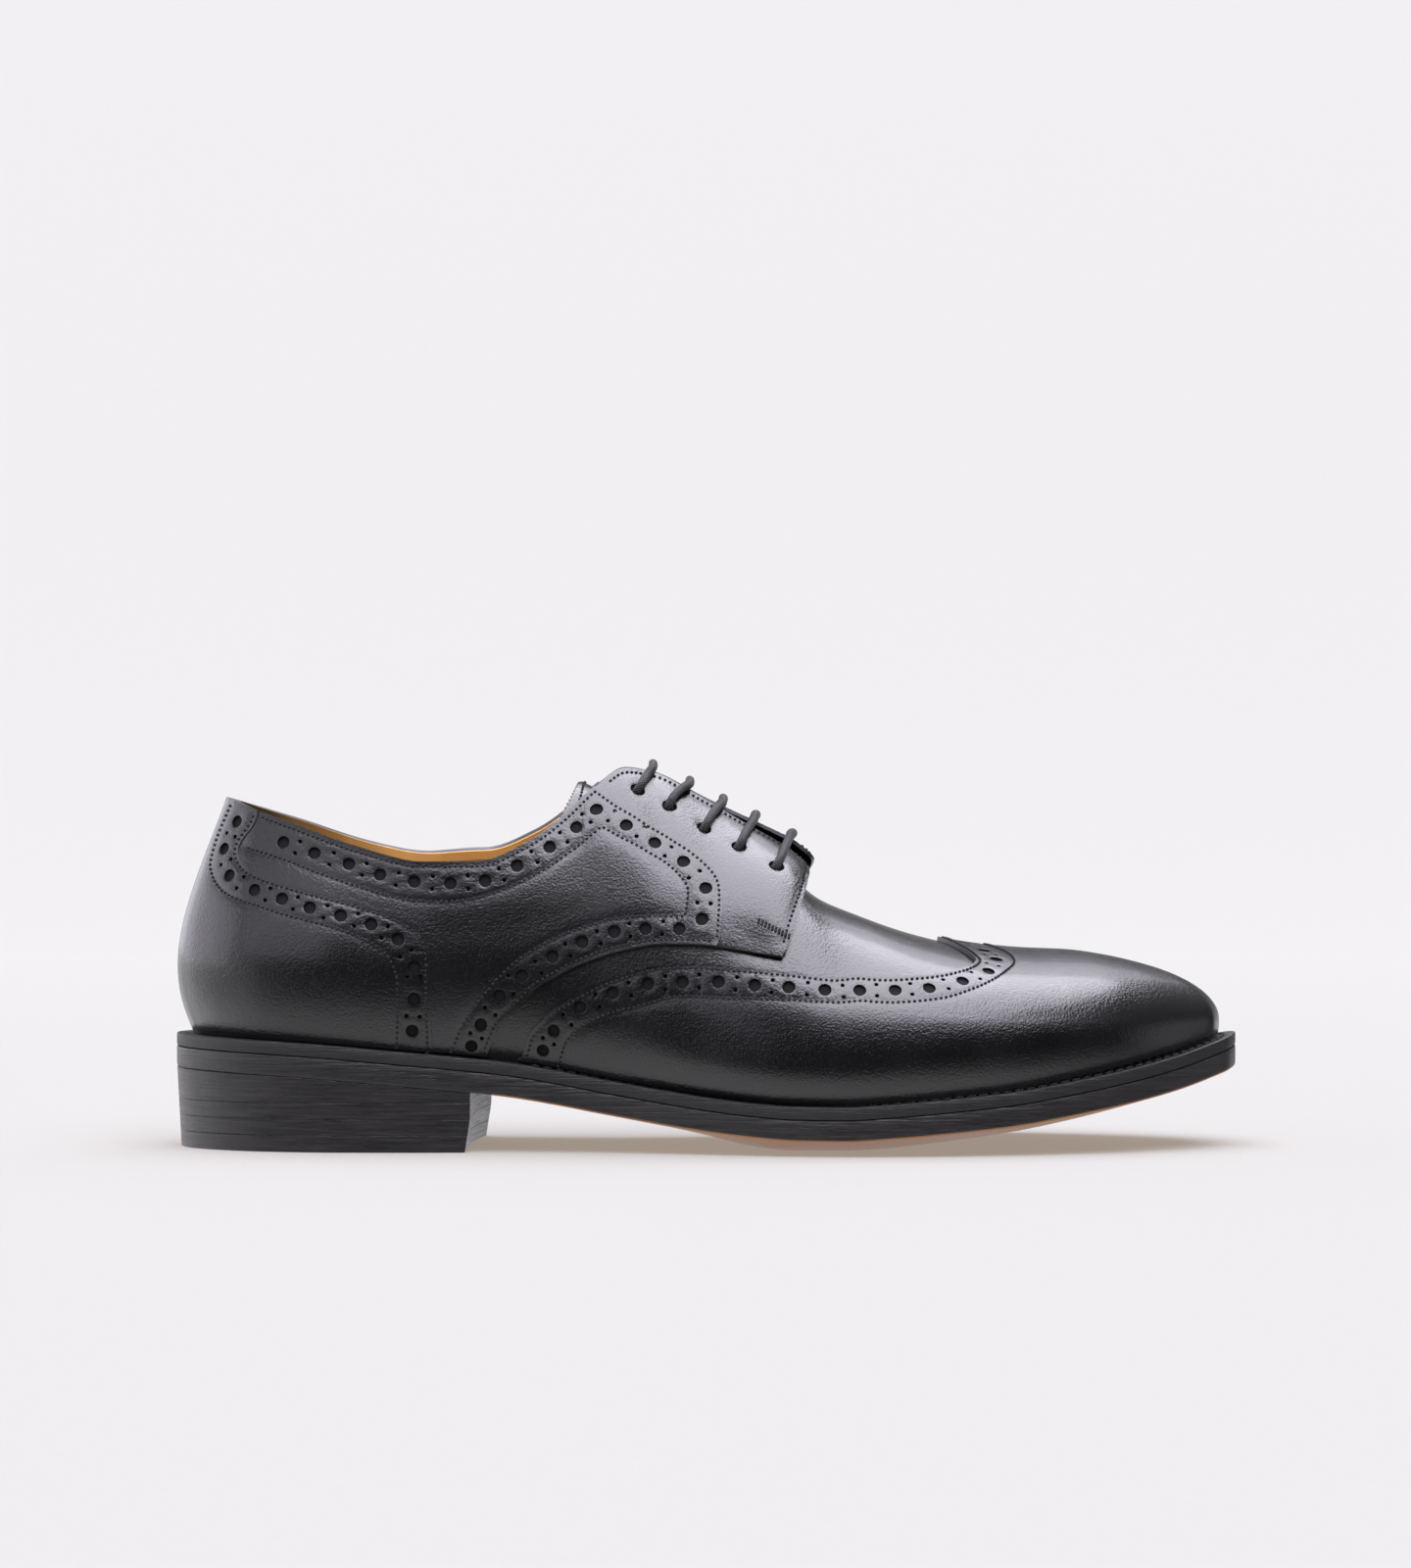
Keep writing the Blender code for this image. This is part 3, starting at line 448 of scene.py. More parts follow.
# %% Colour and node helpers
def colour(code):
    """Linear colour with alpha from an sRGB hex code."""
    parts = [int(code[i:i + 2], 16) / 255 for i in (1, 3, 5)]
    return tuple(p / 12.92 if p <= 0.04045 else ((p + 0.055) / 1.055) ** 2.4 for p in parts) + (1.0,)


def node(tree, kind, links=(), **settings):
    """Node of a kind with its settings; links are (own input, other node, other output)."""
    made = tree.nodes.new(kind)
    for name, value in settings.items():
        if hasattr(made, name):
            setattr(made, name, value)
        else:
            made.inputs[name.replace("_", " ")].default_value = value
    for own, other, output in links:
        tree.links.new(other.outputs[output], made.inputs[own])
    return made


def new_material(name):
    """Empty material and its node tree."""
    made = bpy.data.materials.new(name)
    made.use_nodes = True
    made.node_tree.nodes.clear()
    return made, made.node_tree


def ramp(tree, source, output, low, high):
    """Colour ramp between two greys or colours fed by another node."""
    made = node(tree, "ShaderNodeValToRGB", (("Fac", source, output),))
    made.color_ramp.elements[0].position = low[0]
    made.color_ramp.elements[0].color = low[1]
    made.color_ramp.elements[1].position = high[0]
    made.color_ramp.elements[1].color = high[1]
    return made


def grey(value):
    """Grey of a linear brightness."""
    return (value, value, value, 1.0)


# %% [markdown]
# ### Polished calf
# Box calf has a fine grain of flat pebbles about half a millimetre across with tiny pores between.
# Wax polish fills it, so the bump stays shallow and a thin clear coat lies over it. Wide, faint
# waves break up long reflections.

# %% Leather, thread, cord and sole materials
def leather(name, low, high, roughness, grain, depth, coat, ior=1.5, painted_shade_end=None):
    """Leather between two tones; grain size and depth in metres, painted_shade_end an x range over which the
    colour darkens towards its low end as painted shade.
    """
    made, tree = new_material(name)
    place = node(tree, "ShaderNodeTexCoord")
    at = (("Vector", place, "Object"),)
    cloud = node(tree, "ShaderNodeTexNoise", at, Scale=60.0, Detail=4.0)
    pebble = node(tree, "ShaderNodeTexVoronoi", at, feature="SMOOTH_F1", Scale=1.0 / grain, Smoothness=0.6)
    pores = node(tree, "ShaderNodeTexNoise", at, Scale=0.8 / grain, Detail=3.0, Roughness=0.65)
    lie = node(tree, "ShaderNodeMapping", at, Scale=(0.22 / grain, 0.35 / grain, 0.6 / grain))
    lines = node(tree, "ShaderNodeTexNoise", (("Vector", lie, "Vector"),),
                 Scale=1.0, Detail=3.0, Distortion=0.6)
    waves = node(tree, "ShaderNodeTexNoise", at, Scale=110.0, Detail=2.0)
    tone = ramp(tree, cloud, "Fac", (0.35, colour(low)), (0.7, colour(high)))
    shine = ramp(tree, cloud, "Fac", (0.3, grey(roughness - 0.04)), (0.75, grey(roughness + 0.06)))
    swell = node(tree, "ShaderNodeBump", (("Height", waves, "Fac"),), Strength=0.4, Distance=0.00025)
    drawn = node(tree, "ShaderNodeBump", (("Height", lines, "Fac"), ("Normal", swell, "Normal")),
                 Strength=0.5, Distance=depth)
    fine = node(tree, "ShaderNodeBump", (("Height", pores, "Fac"), ("Normal", drawn, "Normal")),
                Strength=1.0, Distance=depth)
    skin_bump = node(tree, "ShaderNodeBump", (("Height", pebble, "Distance"), ("Normal", fine, "Normal")),
                     Strength=0.55, Distance=depth, invert=True)
    shader = node(tree, "ShaderNodeBsdfPrincipled",
                  (("Base Color", tone, "Color"), ("Roughness", shine, "Color"),
                   ("Normal", skin_bump, "Normal")),
                  IOR=ior, Coat_Weight=coat, Coat_Roughness=0.16, Coat_IOR=1.5)
    # Painted shade: the colour is darkened over an x range, standing in for the shade deep inside the heel
    # of the shoe.
    if painted_shade_end:
        parts = node(tree, "ShaderNodeSeparateXYZ", at)
        painted_shade_factor = node(tree, "ShaderNodeMapRange", (("Value", parts, "X"),),
                    From_Min=painted_shade_end[0], From_Max=painted_shade_end[1], To_Min=0.08, To_Max=1.0)
        shade_painted_tone = node(tree, "ShaderNodeVectorMath", (("Vector", tone, "Color"), ("Scale", painted_shade_factor, "Result")),
                     operation="SCALE")
        tree.links.new(shade_painted_tone.outputs["Vector"], shader.inputs["Base Color"])
    node(tree, "ShaderNodeOutputMaterial", (("Surface", shader, "BSDF"),))
    return made


def twisted(name, low, high, roughness, stripes, ior=1.5):
    """Thread or braid: slanting stripes along a UV that runs round and along it."""
    made, tree = new_material(name)
    place = node(tree, "ShaderNodeUVMap", uv_map="UVMap")
    strands = []
    for across in (stripes[0], -stripes[0]):
        turn = node(tree, "ShaderNodeMapping", (("Vector", place, "UV"),), Scale=(across, stripes[1], 1.0))
        strands.append(node(tree, "ShaderNodeTexWave", (("Vector", turn, "Vector"),),
                            bands_direction="DIAGONAL", Scale=1.0, Distortion=0.4))
    weave = node(tree, "ShaderNodeMath", ((0, strands[0], "Fac"), (1, strands[1], "Fac")),
                 operation="MULTIPLY")
    tone = ramp(tree, weave, "Value", (0.1, colour(low)), (0.8, colour(high)))
    bump = node(tree, "ShaderNodeBump", (("Height", weave, "Value"),), Strength=1.0, Distance=0.0008)
    shader = node(tree, "ShaderNodeBsdfPrincipled",
                  (("Base Color", tone, "Color"), ("Normal", bump, "Normal")),
                  Roughness=roughness, IOR=ior, Sheen_Weight=0.1)
    node(tree, "ShaderNodeOutputMaterial", (("Surface", shader, "BSDF"),))
    return made


def dressed_edge(name, low, high, roughness, line_pitch):
    """Cut leather edge, dyed and burnished, with the faint lie of its layers."""
    made, tree = new_material(name)
    place = node(tree, "ShaderNodeTexCoord")
    at = (("Vector", place, "Object"),)
    flatten = node(tree, "ShaderNodeMapping", at, Scale=(60.0, 60.0, 1.0 / line_pitch))
    fibre = node(tree, "ShaderNodeTexNoise", (("Vector", flatten, "Vector"),),
                 Scale=1.0, Detail=5.0, Roughness=0.6)
    fleck = node(tree, "ShaderNodeTexNoise", at, Scale=900.0, Detail=3.0)
    tone = ramp(tree, fibre, "Fac", (0.3, colour(low)), (0.75, colour(high)))
    shine = ramp(tree, fibre, "Fac", (0.3, grey(roughness - 0.06)), (0.8, grey(roughness + 0.12)))
    grainy = node(tree, "ShaderNodeBump", (("Height", fleck, "Fac"),), Strength=0.35, Distance=0.00008)
    bump = node(tree, "ShaderNodeBump", (("Height", fibre, "Fac"), ("Normal", grainy, "Normal")),
                Strength=0.8, Distance=0.0003)
    shader = node(tree, "ShaderNodeBsdfPrincipled",
                  (("Base Color", tone, "Color"), ("Roughness", shine, "Color"), ("Normal", bump, "Normal")),
                  IOR=1.48)
    node(tree, "ShaderNodeOutputMaterial", (("Surface", shader, "BSDF"),))
    return made


calf = leather("Black box calf, polished", "#050507", "#0a0a0d", 0.22, 0.0006, 0.00012, 0.3)
# The cut edge's grey is partly the raw fibre of the cut and partly a painted highlight, standing in for the
# light line that panel edges catch.
calf_edge_with_painted_highlight = leather("Black calf, cut edge dyed", "#343436", "#4c4c4f", 0.36, 0.0004, 0.00006, 0.0)
hole_floor = leather("Black backing cloth in the punched holes", "#09090b", "#111113", 0.8, 0.0006, 0.0001,
                     0.0, 1.3)
# The lining and the sock darken towards the heel: painted shade for the shade deep inside the heel.
lining = leather("Tan calf lining, aniline, painted heel shade", "#c99a56", "#dbb16c", 0.5, 0.0006, 0.00005, 0.0,
                 painted_shade_end=(-0.125, -0.088))
sole_tan = leather("Oak bark tanned sole leather", "#84542d", "#9c6a38", 0.55, 0.0008, 0.00006, 0.0)
sole_edge = dressed_edge("Black dressed sole edge", "#100f0f", "#262425", 0.38, 0.0006)
heel_edge = dressed_edge("Black dressed heel stack", "#0e0d0d", "#2b292a", 0.34, 0.0008)
welt_top = dressed_edge("Black welt leather", "#0f0f10", "#1c1b1c", 0.5, 0.0005)
thread = twisted("Black waxed polyester thread", "#020202", "#080809", 0.75, (2.0, 3.0), 1.33)
tan_thread = twisted("Tan lining thread", "#b98147", "#dcae70", 0.6, (2.0, 3.0))
cord = twisted("Black waxed cotton braid", "#020202", "#1a1a1b", 0.42, (5.0265, 12.0), 1.45)
print("materials:", len(bpy.data.materials))

# %% [markdown]
# ## The seams
# Every seam is a short list of (s, v) places on the outer side; the inner side mirrors them. The
# wing sweeps from the waist to the point of the toe cap, the quarter's lower edge drops from the
# facing to the waist, and the counter hugs the heel. Bands of punched holes lie between pairs of
# stitch rows about eight millimetres apart.

# %% Seam tables
WING_UPPER = ((6.60, 0.000), (6.68, 0.120), (6.81, 0.452), (6.99, 0.609), (7.22, 0.793), (7.62, 0.975),
              (8.21, 1.093), (8.90, 1.149), (9.57, 1.187), (10.25, 1.214), (11.58, 1.254),
              (13.00, 1.296), (14.64, 1.330), (15.78, 1.346), (16.73, 1.396), (17.38, 1.482),
              (17.72, 1.589), (17.70, 1.706), (17.64, 1.796), (17.57, 1.907), (17.52, 2.000))
WING_LOWER = ((7.24, 0.030), (7.32, 0.218), (7.48, 0.517), (7.84, 0.741), (8.21, 0.888), (8.88, 1.026),
              (9.55, 1.076), (10.32, 1.126), (11.54, 1.166), (12.94, 1.208), (14.53, 1.235),
              (15.67, 1.236), (16.51, 1.257), (16.99, 1.290), (17.53, 1.367), (17.96, 1.463),
              (18.36, 1.600), (18.46, 1.703), (18.44, 1.834), (18.34, 1.924), (18.28, 2.000))
WING_HOLES = ((6.98, 0.266), (7.20, 0.576), (7.77, 0.939), (8.63, 1.086), (9.64, 1.148), (10.63, 1.182),
              (11.54, 1.214), (12.33, 1.234), (13.05, 1.254), (13.89, 1.274), (14.85, 1.280),
              (15.77, 1.294), (16.51, 1.318), (17.19, 1.382), (17.77, 1.489), (18.08, 1.640),
              (18.01, 1.776), (17.84, 1.929))
QUARTER_OUTER = ((8.88, 1.985), (9.12, 1.908), (9.51, 1.809), (10.11, 1.719), (10.79, 1.673),
                 (11.36, 1.632), (11.69, 1.599), (11.82, 1.564), (11.80, 1.512), (11.71, 1.436),
                 (11.60, 1.352))
QUARTER_LOWER = ((13.00, 1.363), (12.20, 1.345), (11.57, 1.328), (11.01, 1.311), (10.30, 1.294),
                 (9.62, 1.278), (8.94, 1.261), (8.26, 1.234), (7.63, 1.176), (7.13, 1.078),
                 (6.78, 0.939), (6.50, 0.728), (6.27, 0.533), (6.16, 0.320), (6.09, 0.157),
                 (6.04, 0.000))
QUARTER_INNER_TOP = ((8.86, 1.793), (9.34, 1.699), (9.95, 1.617), (10.62, 1.568), (10.92, 1.535),
                     (11.08, 1.501), (11.02, 1.452), (10.88, 1.396))
QUARTER_INNER_LOW = ((10.88, 1.396), (10.39, 1.385), (9.69, 1.380), (9.02, 1.387), (8.34, 1.389),
                     (7.70, 1.371), (7.17, 1.324), (6.71, 1.233), (6.43, 1.129), (6.19, 0.989),
                     (5.98, 0.808), (5.81, 0.603), (5.67, 0.370), (5.59, 0.149), (5.54, 0.030))
COLLAR_HOLES = ((2.94, 1.847), (3.44, 1.840), (3.93, 1.834), (4.40, 1.813), (4.93, 1.805), (5.53, 1.794),
                (6.13, 1.816), (6.73, 1.859), (7.46, 1.877), (8.20, 1.881), (8.83, 1.884), (9.55, 1.735),
                (10.30, 1.646), (11.08, 1.590), (11.51, 1.517), (11.31, 1.400))
LOWER_HOLES = ((10.67, 1.349), (9.68, 1.335), (8.79, 1.337), (7.89, 1.309), (7.21, 1.227), (6.63, 1.075),
               (6.27, 0.863), (5.98, 0.504), (5.84, 0.190))
COLLAR_LOWER = ((2.26, 1.748), (3.02, 1.740), (3.55, 1.711), (4.04, 1.685), (4.57, 1.658), (5.10, 1.638),
                (5.63, 1.643), (6.21, 1.705), (6.84, 1.741), (7.63, 1.776), (8.35, 1.787), (8.86, 1.793))
COUNTER_EDGE = ((2.33, 2.000), (2.33, 1.985), (2.29, 1.892), (2.14, 1.790), (2.09, 1.731), (2.19, 1.682),
                (2.46, 1.626), (2.80, 1.603), (3.31, 1.585), (3.67, 1.575), (4.08, 1.560), (4.59, 1.523),
                (4.97, 1.447), (5.19, 1.336), (5.27, 1.188), (5.28, 0.939), (5.30, 0.195), (5.30, 0.000))
COUNTER_INNER = ((1.19, 1.975), (1.09, 1.887), (1.00, 1.767), (1.08, 1.674), (1.21, 1.602),
                 (1.45, 1.550), (1.75, 1.502), (2.05, 1.466), (2.37, 1.439), (2.77, 1.420),
                 (3.11, 1.398), (3.40, 1.379), (3.75, 1.356), (4.16, 1.310), (4.46, 1.251),
                 (4.67, 1.172), (4.80, 1.030), (4.83, 0.732), (4.81, 0.183), (4.80, 0.030))
COUNTER_HOLES = ((1.76, 1.882), (1.62, 1.703), (2.10, 1.562), (2.69, 1.507), (3.16, 1.486),
                 (3.55, 1.459), (3.96, 1.437), (4.40, 1.405), (4.81, 1.310), (5.06, 1.081),
                 (5.06, 0.765), (5.03, 0.349))
FACING_FRONT = ((14.02, 2.000), (14.22, 1.975), (14.30, 1.923), (14.22, 1.867), (14.03, 1.772),
                (13.78, 1.657), (13.33, 1.477), (13.13, 1.396))
EYELETS = ((10.20, 1.885, 10.95), (11.10, 1.828, 11.75), (11.83, 1.795, 12.48), (12.55, 1.776, 13.15),
           (13.27, 1.742, 13.86))
BIG_HOLE, PINHOLE, EYELET_HOLE = 1.8, 0.62, 2.1
PINHOLE_ASIDE, HOLE_PITCH_MOST = 1.8, 16.0
TOP_EDGE = LOW_SIDE + HIGH_SIDE
FOOT_EDGE = 1.0


def seam(table, spacing=1.3):
    """Smooth seam line of a table."""
    return smooth_line(flat(table), spacing)


def base(ab):
    """Points of the bare last at flat pattern points."""
    return last_point(*unflat(ab))


def pinholes(table):
    """Pairs of pinholes midway between neighbouring holes, one on each side of their line."""
    line = flat(table)
    first, second = line[:-1], line[1:]
    close = np.linalg.norm(base(second) - base(first), axis=1) < HOLE_PITCH_MOST
    middle, run = 0.5 * (first + second)[close], (second - first)[close]
    point, normal, da, db = frame_at(middle)
    along = unit(da * run[:, :1] + db * run[:, 1:])
    step = flat_step(middle, np.cross(normal, along) * PINHOLE_ASIDE)
    return np.vstack((middle + step, middle - step))


def rings(holes, grow=0.0):
    """Loops of flat points round (centre, radius, corners), true circles on the surface."""
    if not holes:
        return []
    centres = np.array([hole[0] for hole in holes])
    point, normal, da, db = frame_at(centres)
    across = flat_step(centres, unit(da))
    up = flat_step(centres, unit(np.cross(normal, da)))
    loops = []
    for k, (centre, radius, corners) in enumerate(holes):
        turn = np.linspace(0.0, 2 * math.pi, corners, endpoint=False)[:, None]
        loops.append(centre + (radius + grow) * (np.cos(turn) * across[k] + np.sin(turn) * up[k]))
    return loops


wing_row = seam(WING_UPPER)
counter_edge = seam(COUNTER_EDGE)
quarter_row = seam(QUARTER_OUTER)
print("seam points, wing, counter, quarter:", len(wing_row), len(counter_edge), len(quarter_row))

# %% [markdown]
# ## Cutting panels
# A panel is cut like real leather: an outline and punched holes on the flat pattern, filled with a
# constrained triangulation. The triangles are then laid on the last at the panel's height. The rim is
# eased down and extruded towards the last, which gives the visible cut edge, also inside each hole.
# Stitch rows pull the leather down a little, so that the rows lie in shallow grooves. Each hole is
# closed a little way down by a floor of black backing cloth, as nothing pale shows through a shoe.

# %% The panel cutter
GROOVE_DEPTH, GROOVE_WIDTH = 0.25, 0.85
HOLE_CORNERS, PINHOLE_CORNERS, EYELET_CORNERS = 16, 8, 18
HOLE_DEPTH, FIELD_SPACING = 0.75, 2.2


def point_tree(points):
    """Search tree of points."""
    tree = kdtree.KDTree(len(points))
    for i, place in enumerate(points):
        tree.insert(place, i)
    tree.balance()
    return tree


def nearest(points, others):
    """Distance from each point to the nearest of the others."""
    tree = point_tree(others)
    return np.array([tree.find(place)[2] for place in points])


def inside_loop(points, loop):
    """True for flat points within a closed loop."""
    x, y = points[:, 0], points[:, 1]
    inside = np.zeros(len(points), bool)
    for (x0, y0), (x1, y1) in zip(loop, np.roll(loop, -1, axis=0)):
        if y0 != y1:
            inside ^= ((y0 > y) != (y1 > y)) & (x < (x1 - x0) * (y - y0) / (y1 - y0) + x0)
    return inside


def joined(*lines):
    """One flat line from several, without points that repeat."""
    line = np.vstack(lines)
    step = np.linalg.norm(np.diff(line, axis=0), axis=1)
    return line[np.concatenate(([True], step > 1e-4))]


def straight(start, end, spacing=1.3):
    """Flat line between two flat points."""
    share = np.linspace(0.0, 1.0, 200)[:, None]
    return even_line(np.asarray(start) * (1 - share) + np.asarray(end) * share, spacing)


def fill_points(outline, holes, rows, spacing):
    """Flat points that fill a panel: rim guides, stitch rows, then an even field."""
    lifted = np.vstack((outline[-1:], outline, outline[:1]))
    groups = [(beside(lifted, 0.5)[1:-1], 0.3)]
    groups += [(np.vstack(rings(holes, 0.35)), 0.2)] if holes else []
    for row in rows:
        groups += [(row, 0.5), (beside(row, 0.9), 0.5), (beside(row, -0.9), 0.5)]
    low, high = outline.min(axis=0), outline.max(axis=0)
    across = np.arange(low[0], high[0], spacing)
    up = np.arange(low[1], high[1], spacing * 0.87)
    field = np.stack(np.meshgrid(across, up), axis=-1)
    field[1::2, :, 0] += spacing * 0.5
    groups.append((field.reshape(-1, 2), spacing * 0.5))
    placed = base(np.vstack([outline] + rings(holes)))
    centres = base(np.array([hole[0] for hole in holes])) if holes else np.zeros((0, 3))
    reach = np.array([hole[1] for hole in holes]) + 0.15
    kept = []
    for points, apart in groups:
        points = points[inside_loop(points, outline)]
        place = base(points)
        clear = nearest(place, placed) > apart
        if holes:
            clear &= (np.linalg.norm(place[:, None] - centres[None], axis=2) > reach).all(axis=1)
        kept.append(points[clear])
        placed = np.vstack((placed, place[clear]))
    return np.vstack(kept)


def hole_rims(rim):
    """Verts of the short closed loops among the rim edges of a sheet."""
    left, found = set(rim), set()
    while left:
        loop = [left.pop()]
        for edge in loop:
            beyond = [other for vert in edge.verts for other in vert.link_edges if other in left]
            left.difference_update(beyond)
            loop += beyond
        if len(loop) <= HOLE_CORNERS:
            found.update(vert for edge in loop for vert in edge.verts)
    return found


def lay_sheet(top, normal, faces, thickness, ease=0.08, closed=False):
    """Sheet of leather: faces through the top points, the rim eased and extruded inwards."""
    bm = bmesh.new()
    down = bm.verts.layers.float_vector.new("down")
    depth = bm.verts.layers.float.new("depth")
    verts = []
    for place, direction in zip(top, normal):
        vert = bm.verts.new(place)
        vert[down] = -direction
        verts.append(vert)
    for face in faces:
        bm.faces.new([verts[i] for i in face])
    bmesh.ops.remove_doubles(bm, verts=bm.verts, dist=0.02)
    loose = [vert for vert in bm.verts if not vert.link_faces]
    bmesh.ops.delete(bm, geom=loose, context="VERTS")
    rim = [edge for edge in bm.edges if edge.is_boundary]
    under = bmesh.ops.duplicate(bm, geom=bm.faces[:])["geom"] if closed else []
    for vert in {vert for edge in rim for vert in edge.verts}:
        vert.co += vert[down] * ease
        vert[depth] = thickness - ease
    for vert in () if closed else hole_rims(rim):
        vert[depth] = HOLE_DEPTH
    skirt = bmesh.ops.extrude_edge_only(bm, edges=rim)["geom"]
    for item in skirt:
        if isinstance(item, bmesh.types.BMVert):
            item.co += item[down] * item[depth]
        elif isinstance(item, bmesh.types.BMFace):
            item.material_index = 1
    if not closed:
        ends = [edge for edge in bm.edges if edge.is_boundary]
        for face in bmesh.ops.holes_fill(bm, edges=ends, sides=HOLE_CORNERS)["faces"]:
            face.material_index = 2
            for edge in face.edges:
                for wall in edge.link_faces:
                    wall.material_index = 2
    else:
        for item in under:
            if isinstance(item, bmesh.types.BMVert):
                item.co += item[down] * thickness
        bmesh.ops.reverse_faces(bm, faces=[item for item in under if isinstance(item, bmesh.types.BMFace)])
        bmesh.ops.remove_doubles(bm, verts=bm.verts, dist=0.02)
    odd = sum(1 for edge in bm.edges if edge.is_manifold and not edge.is_contiguous)
    print("sheet faces:", len(bm.faces), "edges turned the wrong way:", odd)
    return bm


def panel(name, outline, holes, rows, low, high, *replaced, lift=None, closed=False, cloth=False):
    """Leather panel with holes, laid on the last between two heights."""
    loops = [outline] + rings(holes)
    loop_of = np.concatenate([np.full(len(loop), k) for k, loop in enumerate(loops)])
    starts = np.concatenate(([0], np.cumsum([len(loop) for loop in loops])))
    edges = [(int(starts[k] + i), int(starts[k] + (i + 1) % len(loop)))
             for k, loop in enumerate(loops) for i in range(len(loop))]
    points = np.vstack(loops + [fill_points(outline, holes, rows, FIELD_SPACING)])
    loop_of = np.concatenate((loop_of, np.full(len(points) - len(loop_of), -1)))
    cut = delaunay_2d_cdt([Vector(p) for p in points], edges, [], 0, 1e-6)
    places = np.array([(v.x, v.y) for v in cut[0]])
    owner = np.array([loop_of[ids[0]] if ids else -1 for ids in cut[3]])
    triangles = np.array([tuple(face) for face in cut[2]])
    middle = places[triangles].mean(axis=1)
    hole_face = (owner[triangles] > 0).all(axis=1) & (np.ptp(owner[triangles], axis=1) == 0)
    triangles = triangles[inside_loop(middle, outline) & ~hole_face]
    sink = np.zeros(len(places))
    if rows:
        fine = base(np.vstack([even_line(row, 0.5) for row in rows]))
        sink = GROOVE_DEPTH * np.exp(-(nearest(base(places), fine) / GROOVE_WIDTH) ** 2)
    top, normal = skin(places, high - sink, lift)
    bm = lay_sheet(top, normal, triangles, high - low, closed=closed)
    print(name, "holes:", len(holes))
    materials = (hole_floor, hole_floor) if cloth else (calf, calf_edge_with_painted_highlight, hole_floor)
    return add_piece(name, bm, materials, "black_calf", *replaced, sharp=40.0)


def hole_set(table):
    """Big holes of a table with their pinholes, as (centre, radius, corners)."""
    big = [(centre, BIG_HOLE, HOLE_CORNERS) for centre in flat(table)]
    small = [(centre, PINHOLE, PINHOLE_CORNERS) for centre in pinholes(table)]
    return big + small


def other_holes(holes, round_toe=False):
    """The same holes on the inner side."""
    return [(mirrored(c[None, :], round_toe)[0], r, n) for c, r, n in holes]


def both(holes, round_toe):
    """The same holes on both sides of a piece that runs round the heel or the toe."""
    return holes + other_holes(holes, round_toe)


# %% [markdown]
# ## Wing cap and counter
# Both run round an end of the shoe, so each is cut in one piece from a half outline and its mirror
# image. Along the ridge over the toe the two halves weld together.

# %% Wing cap
WING_HIGH, FACING_HIGH, QUARTER_HIGH, COUNTER_HIGH = 1.35, 1.25, 2.0, 2.35
PANEL_FOOT, WING_MARGIN, COUNTER_MARGIN = 0.1, 1.2, 1.3
wing_edge = beside(wing_row, WING_MARGIN)
wing_edge[0] = (wing_edge[0, 0], FOOT_EDGE)
wing_edge[-1] = (wing_edge[-1, 0], TOP_EDGE)
wing_half = joined(straight((TOE, TOP_EDGE), wing_edge[-1]), wing_edge[::-1],
                   straight(wing_edge[0], (TOE, FOOT_EDGE)))
wing_outline = joined(wing_half, mirrored(wing_half, True)[::-1][1:-1])
wing_rows = [wing_row[2:], seam(WING_LOWER)]
wing_rows += [mirrored(row, True) for row in wing_rows]
panel("wing_cap_calf", wing_outline, both(hole_set(WING_HOLES), True), wing_rows, PANEL_FOOT, WING_HIGH,
      "wing_cap")

# %% Counter
counter_half = joined(straight((0.0, FOOT_EDGE), (counter_edge[-1, 0], FOOT_EDGE)),
                      counter_edge[::-1][1:], straight(counter_edge[0], (0.0, TOP_EDGE)))
counter_outline = joined(counter_half, mirrored(counter_half)[::-1][1:-1])
counter_rows = [beside(counter_edge, -COUNTER_MARGIN)[1:], seam(COUNTER_INNER)]
counter_rows += [mirrored(row) for row in counter_rows]
panel("counter_calf", counter_outline, both(hole_set(COUNTER_HOLES), False), counter_rows, PANEL_FOOT,
      COUNTER_HIGH, "counter")

# %% [markdown]
# ## Quarters and facings
# The quarter lies over the facing, and both share one lower edge above the vamp. Near its front corner
# the facing stands off the vamp, as the laces pull it up. A narrow stay of cloth behind each row of
# eyelets keeps daylight out of them.

# %% Quarters and facings
QUARTER_FRONT, FACING_BACK = 11.62 * PER_RIB, 11.25 * PER_RIB
QUARTER_MARGIN, COUNTER_LAP, FACING_LAP = 0.9, 1.8, 1.4
COLLAR_MARGIN, LOWER_MARGIN, FACING_MARGIN, THROAT_MARGIN = 1.4, 1.2, 1.3, 1.6
STAY_HALF, STAY_END, FACING_FOOT = 3.2, 3.5, 0.15
lower_edge = seam(QUARTER_LOWER)
front_part = lower_edge[:, 0] > QUARTER_FRONT
raw_front = beside(quarter_row, QUARTER_MARGIN)
raw_front[0] = (raw_front[0, 0], TOP_EDGE)
quarter_foot = lower_edge[~front_part]
quarter_foot[-1] = (quarter_foot[-1, 0], FOOT_EDGE)
tucked = beside(counter_edge, -COUNTER_LAP)
tucked[0] = (tucked[0, 0], TOP_EDGE)
tucked[-1] = (tucked[-1, 0], FOOT_EDGE)
quarter_outline = joined(straight(tucked[-1], quarter_foot[-1]), quarter_foot[::-1], raw_front[::-1],
                         straight(raw_front[0], tucked[0]), tucked)
collar_edge = straight((2.40 * PER_RIB, TOP_EDGE), (8.80 * PER_RIB, TOP_EDGE))
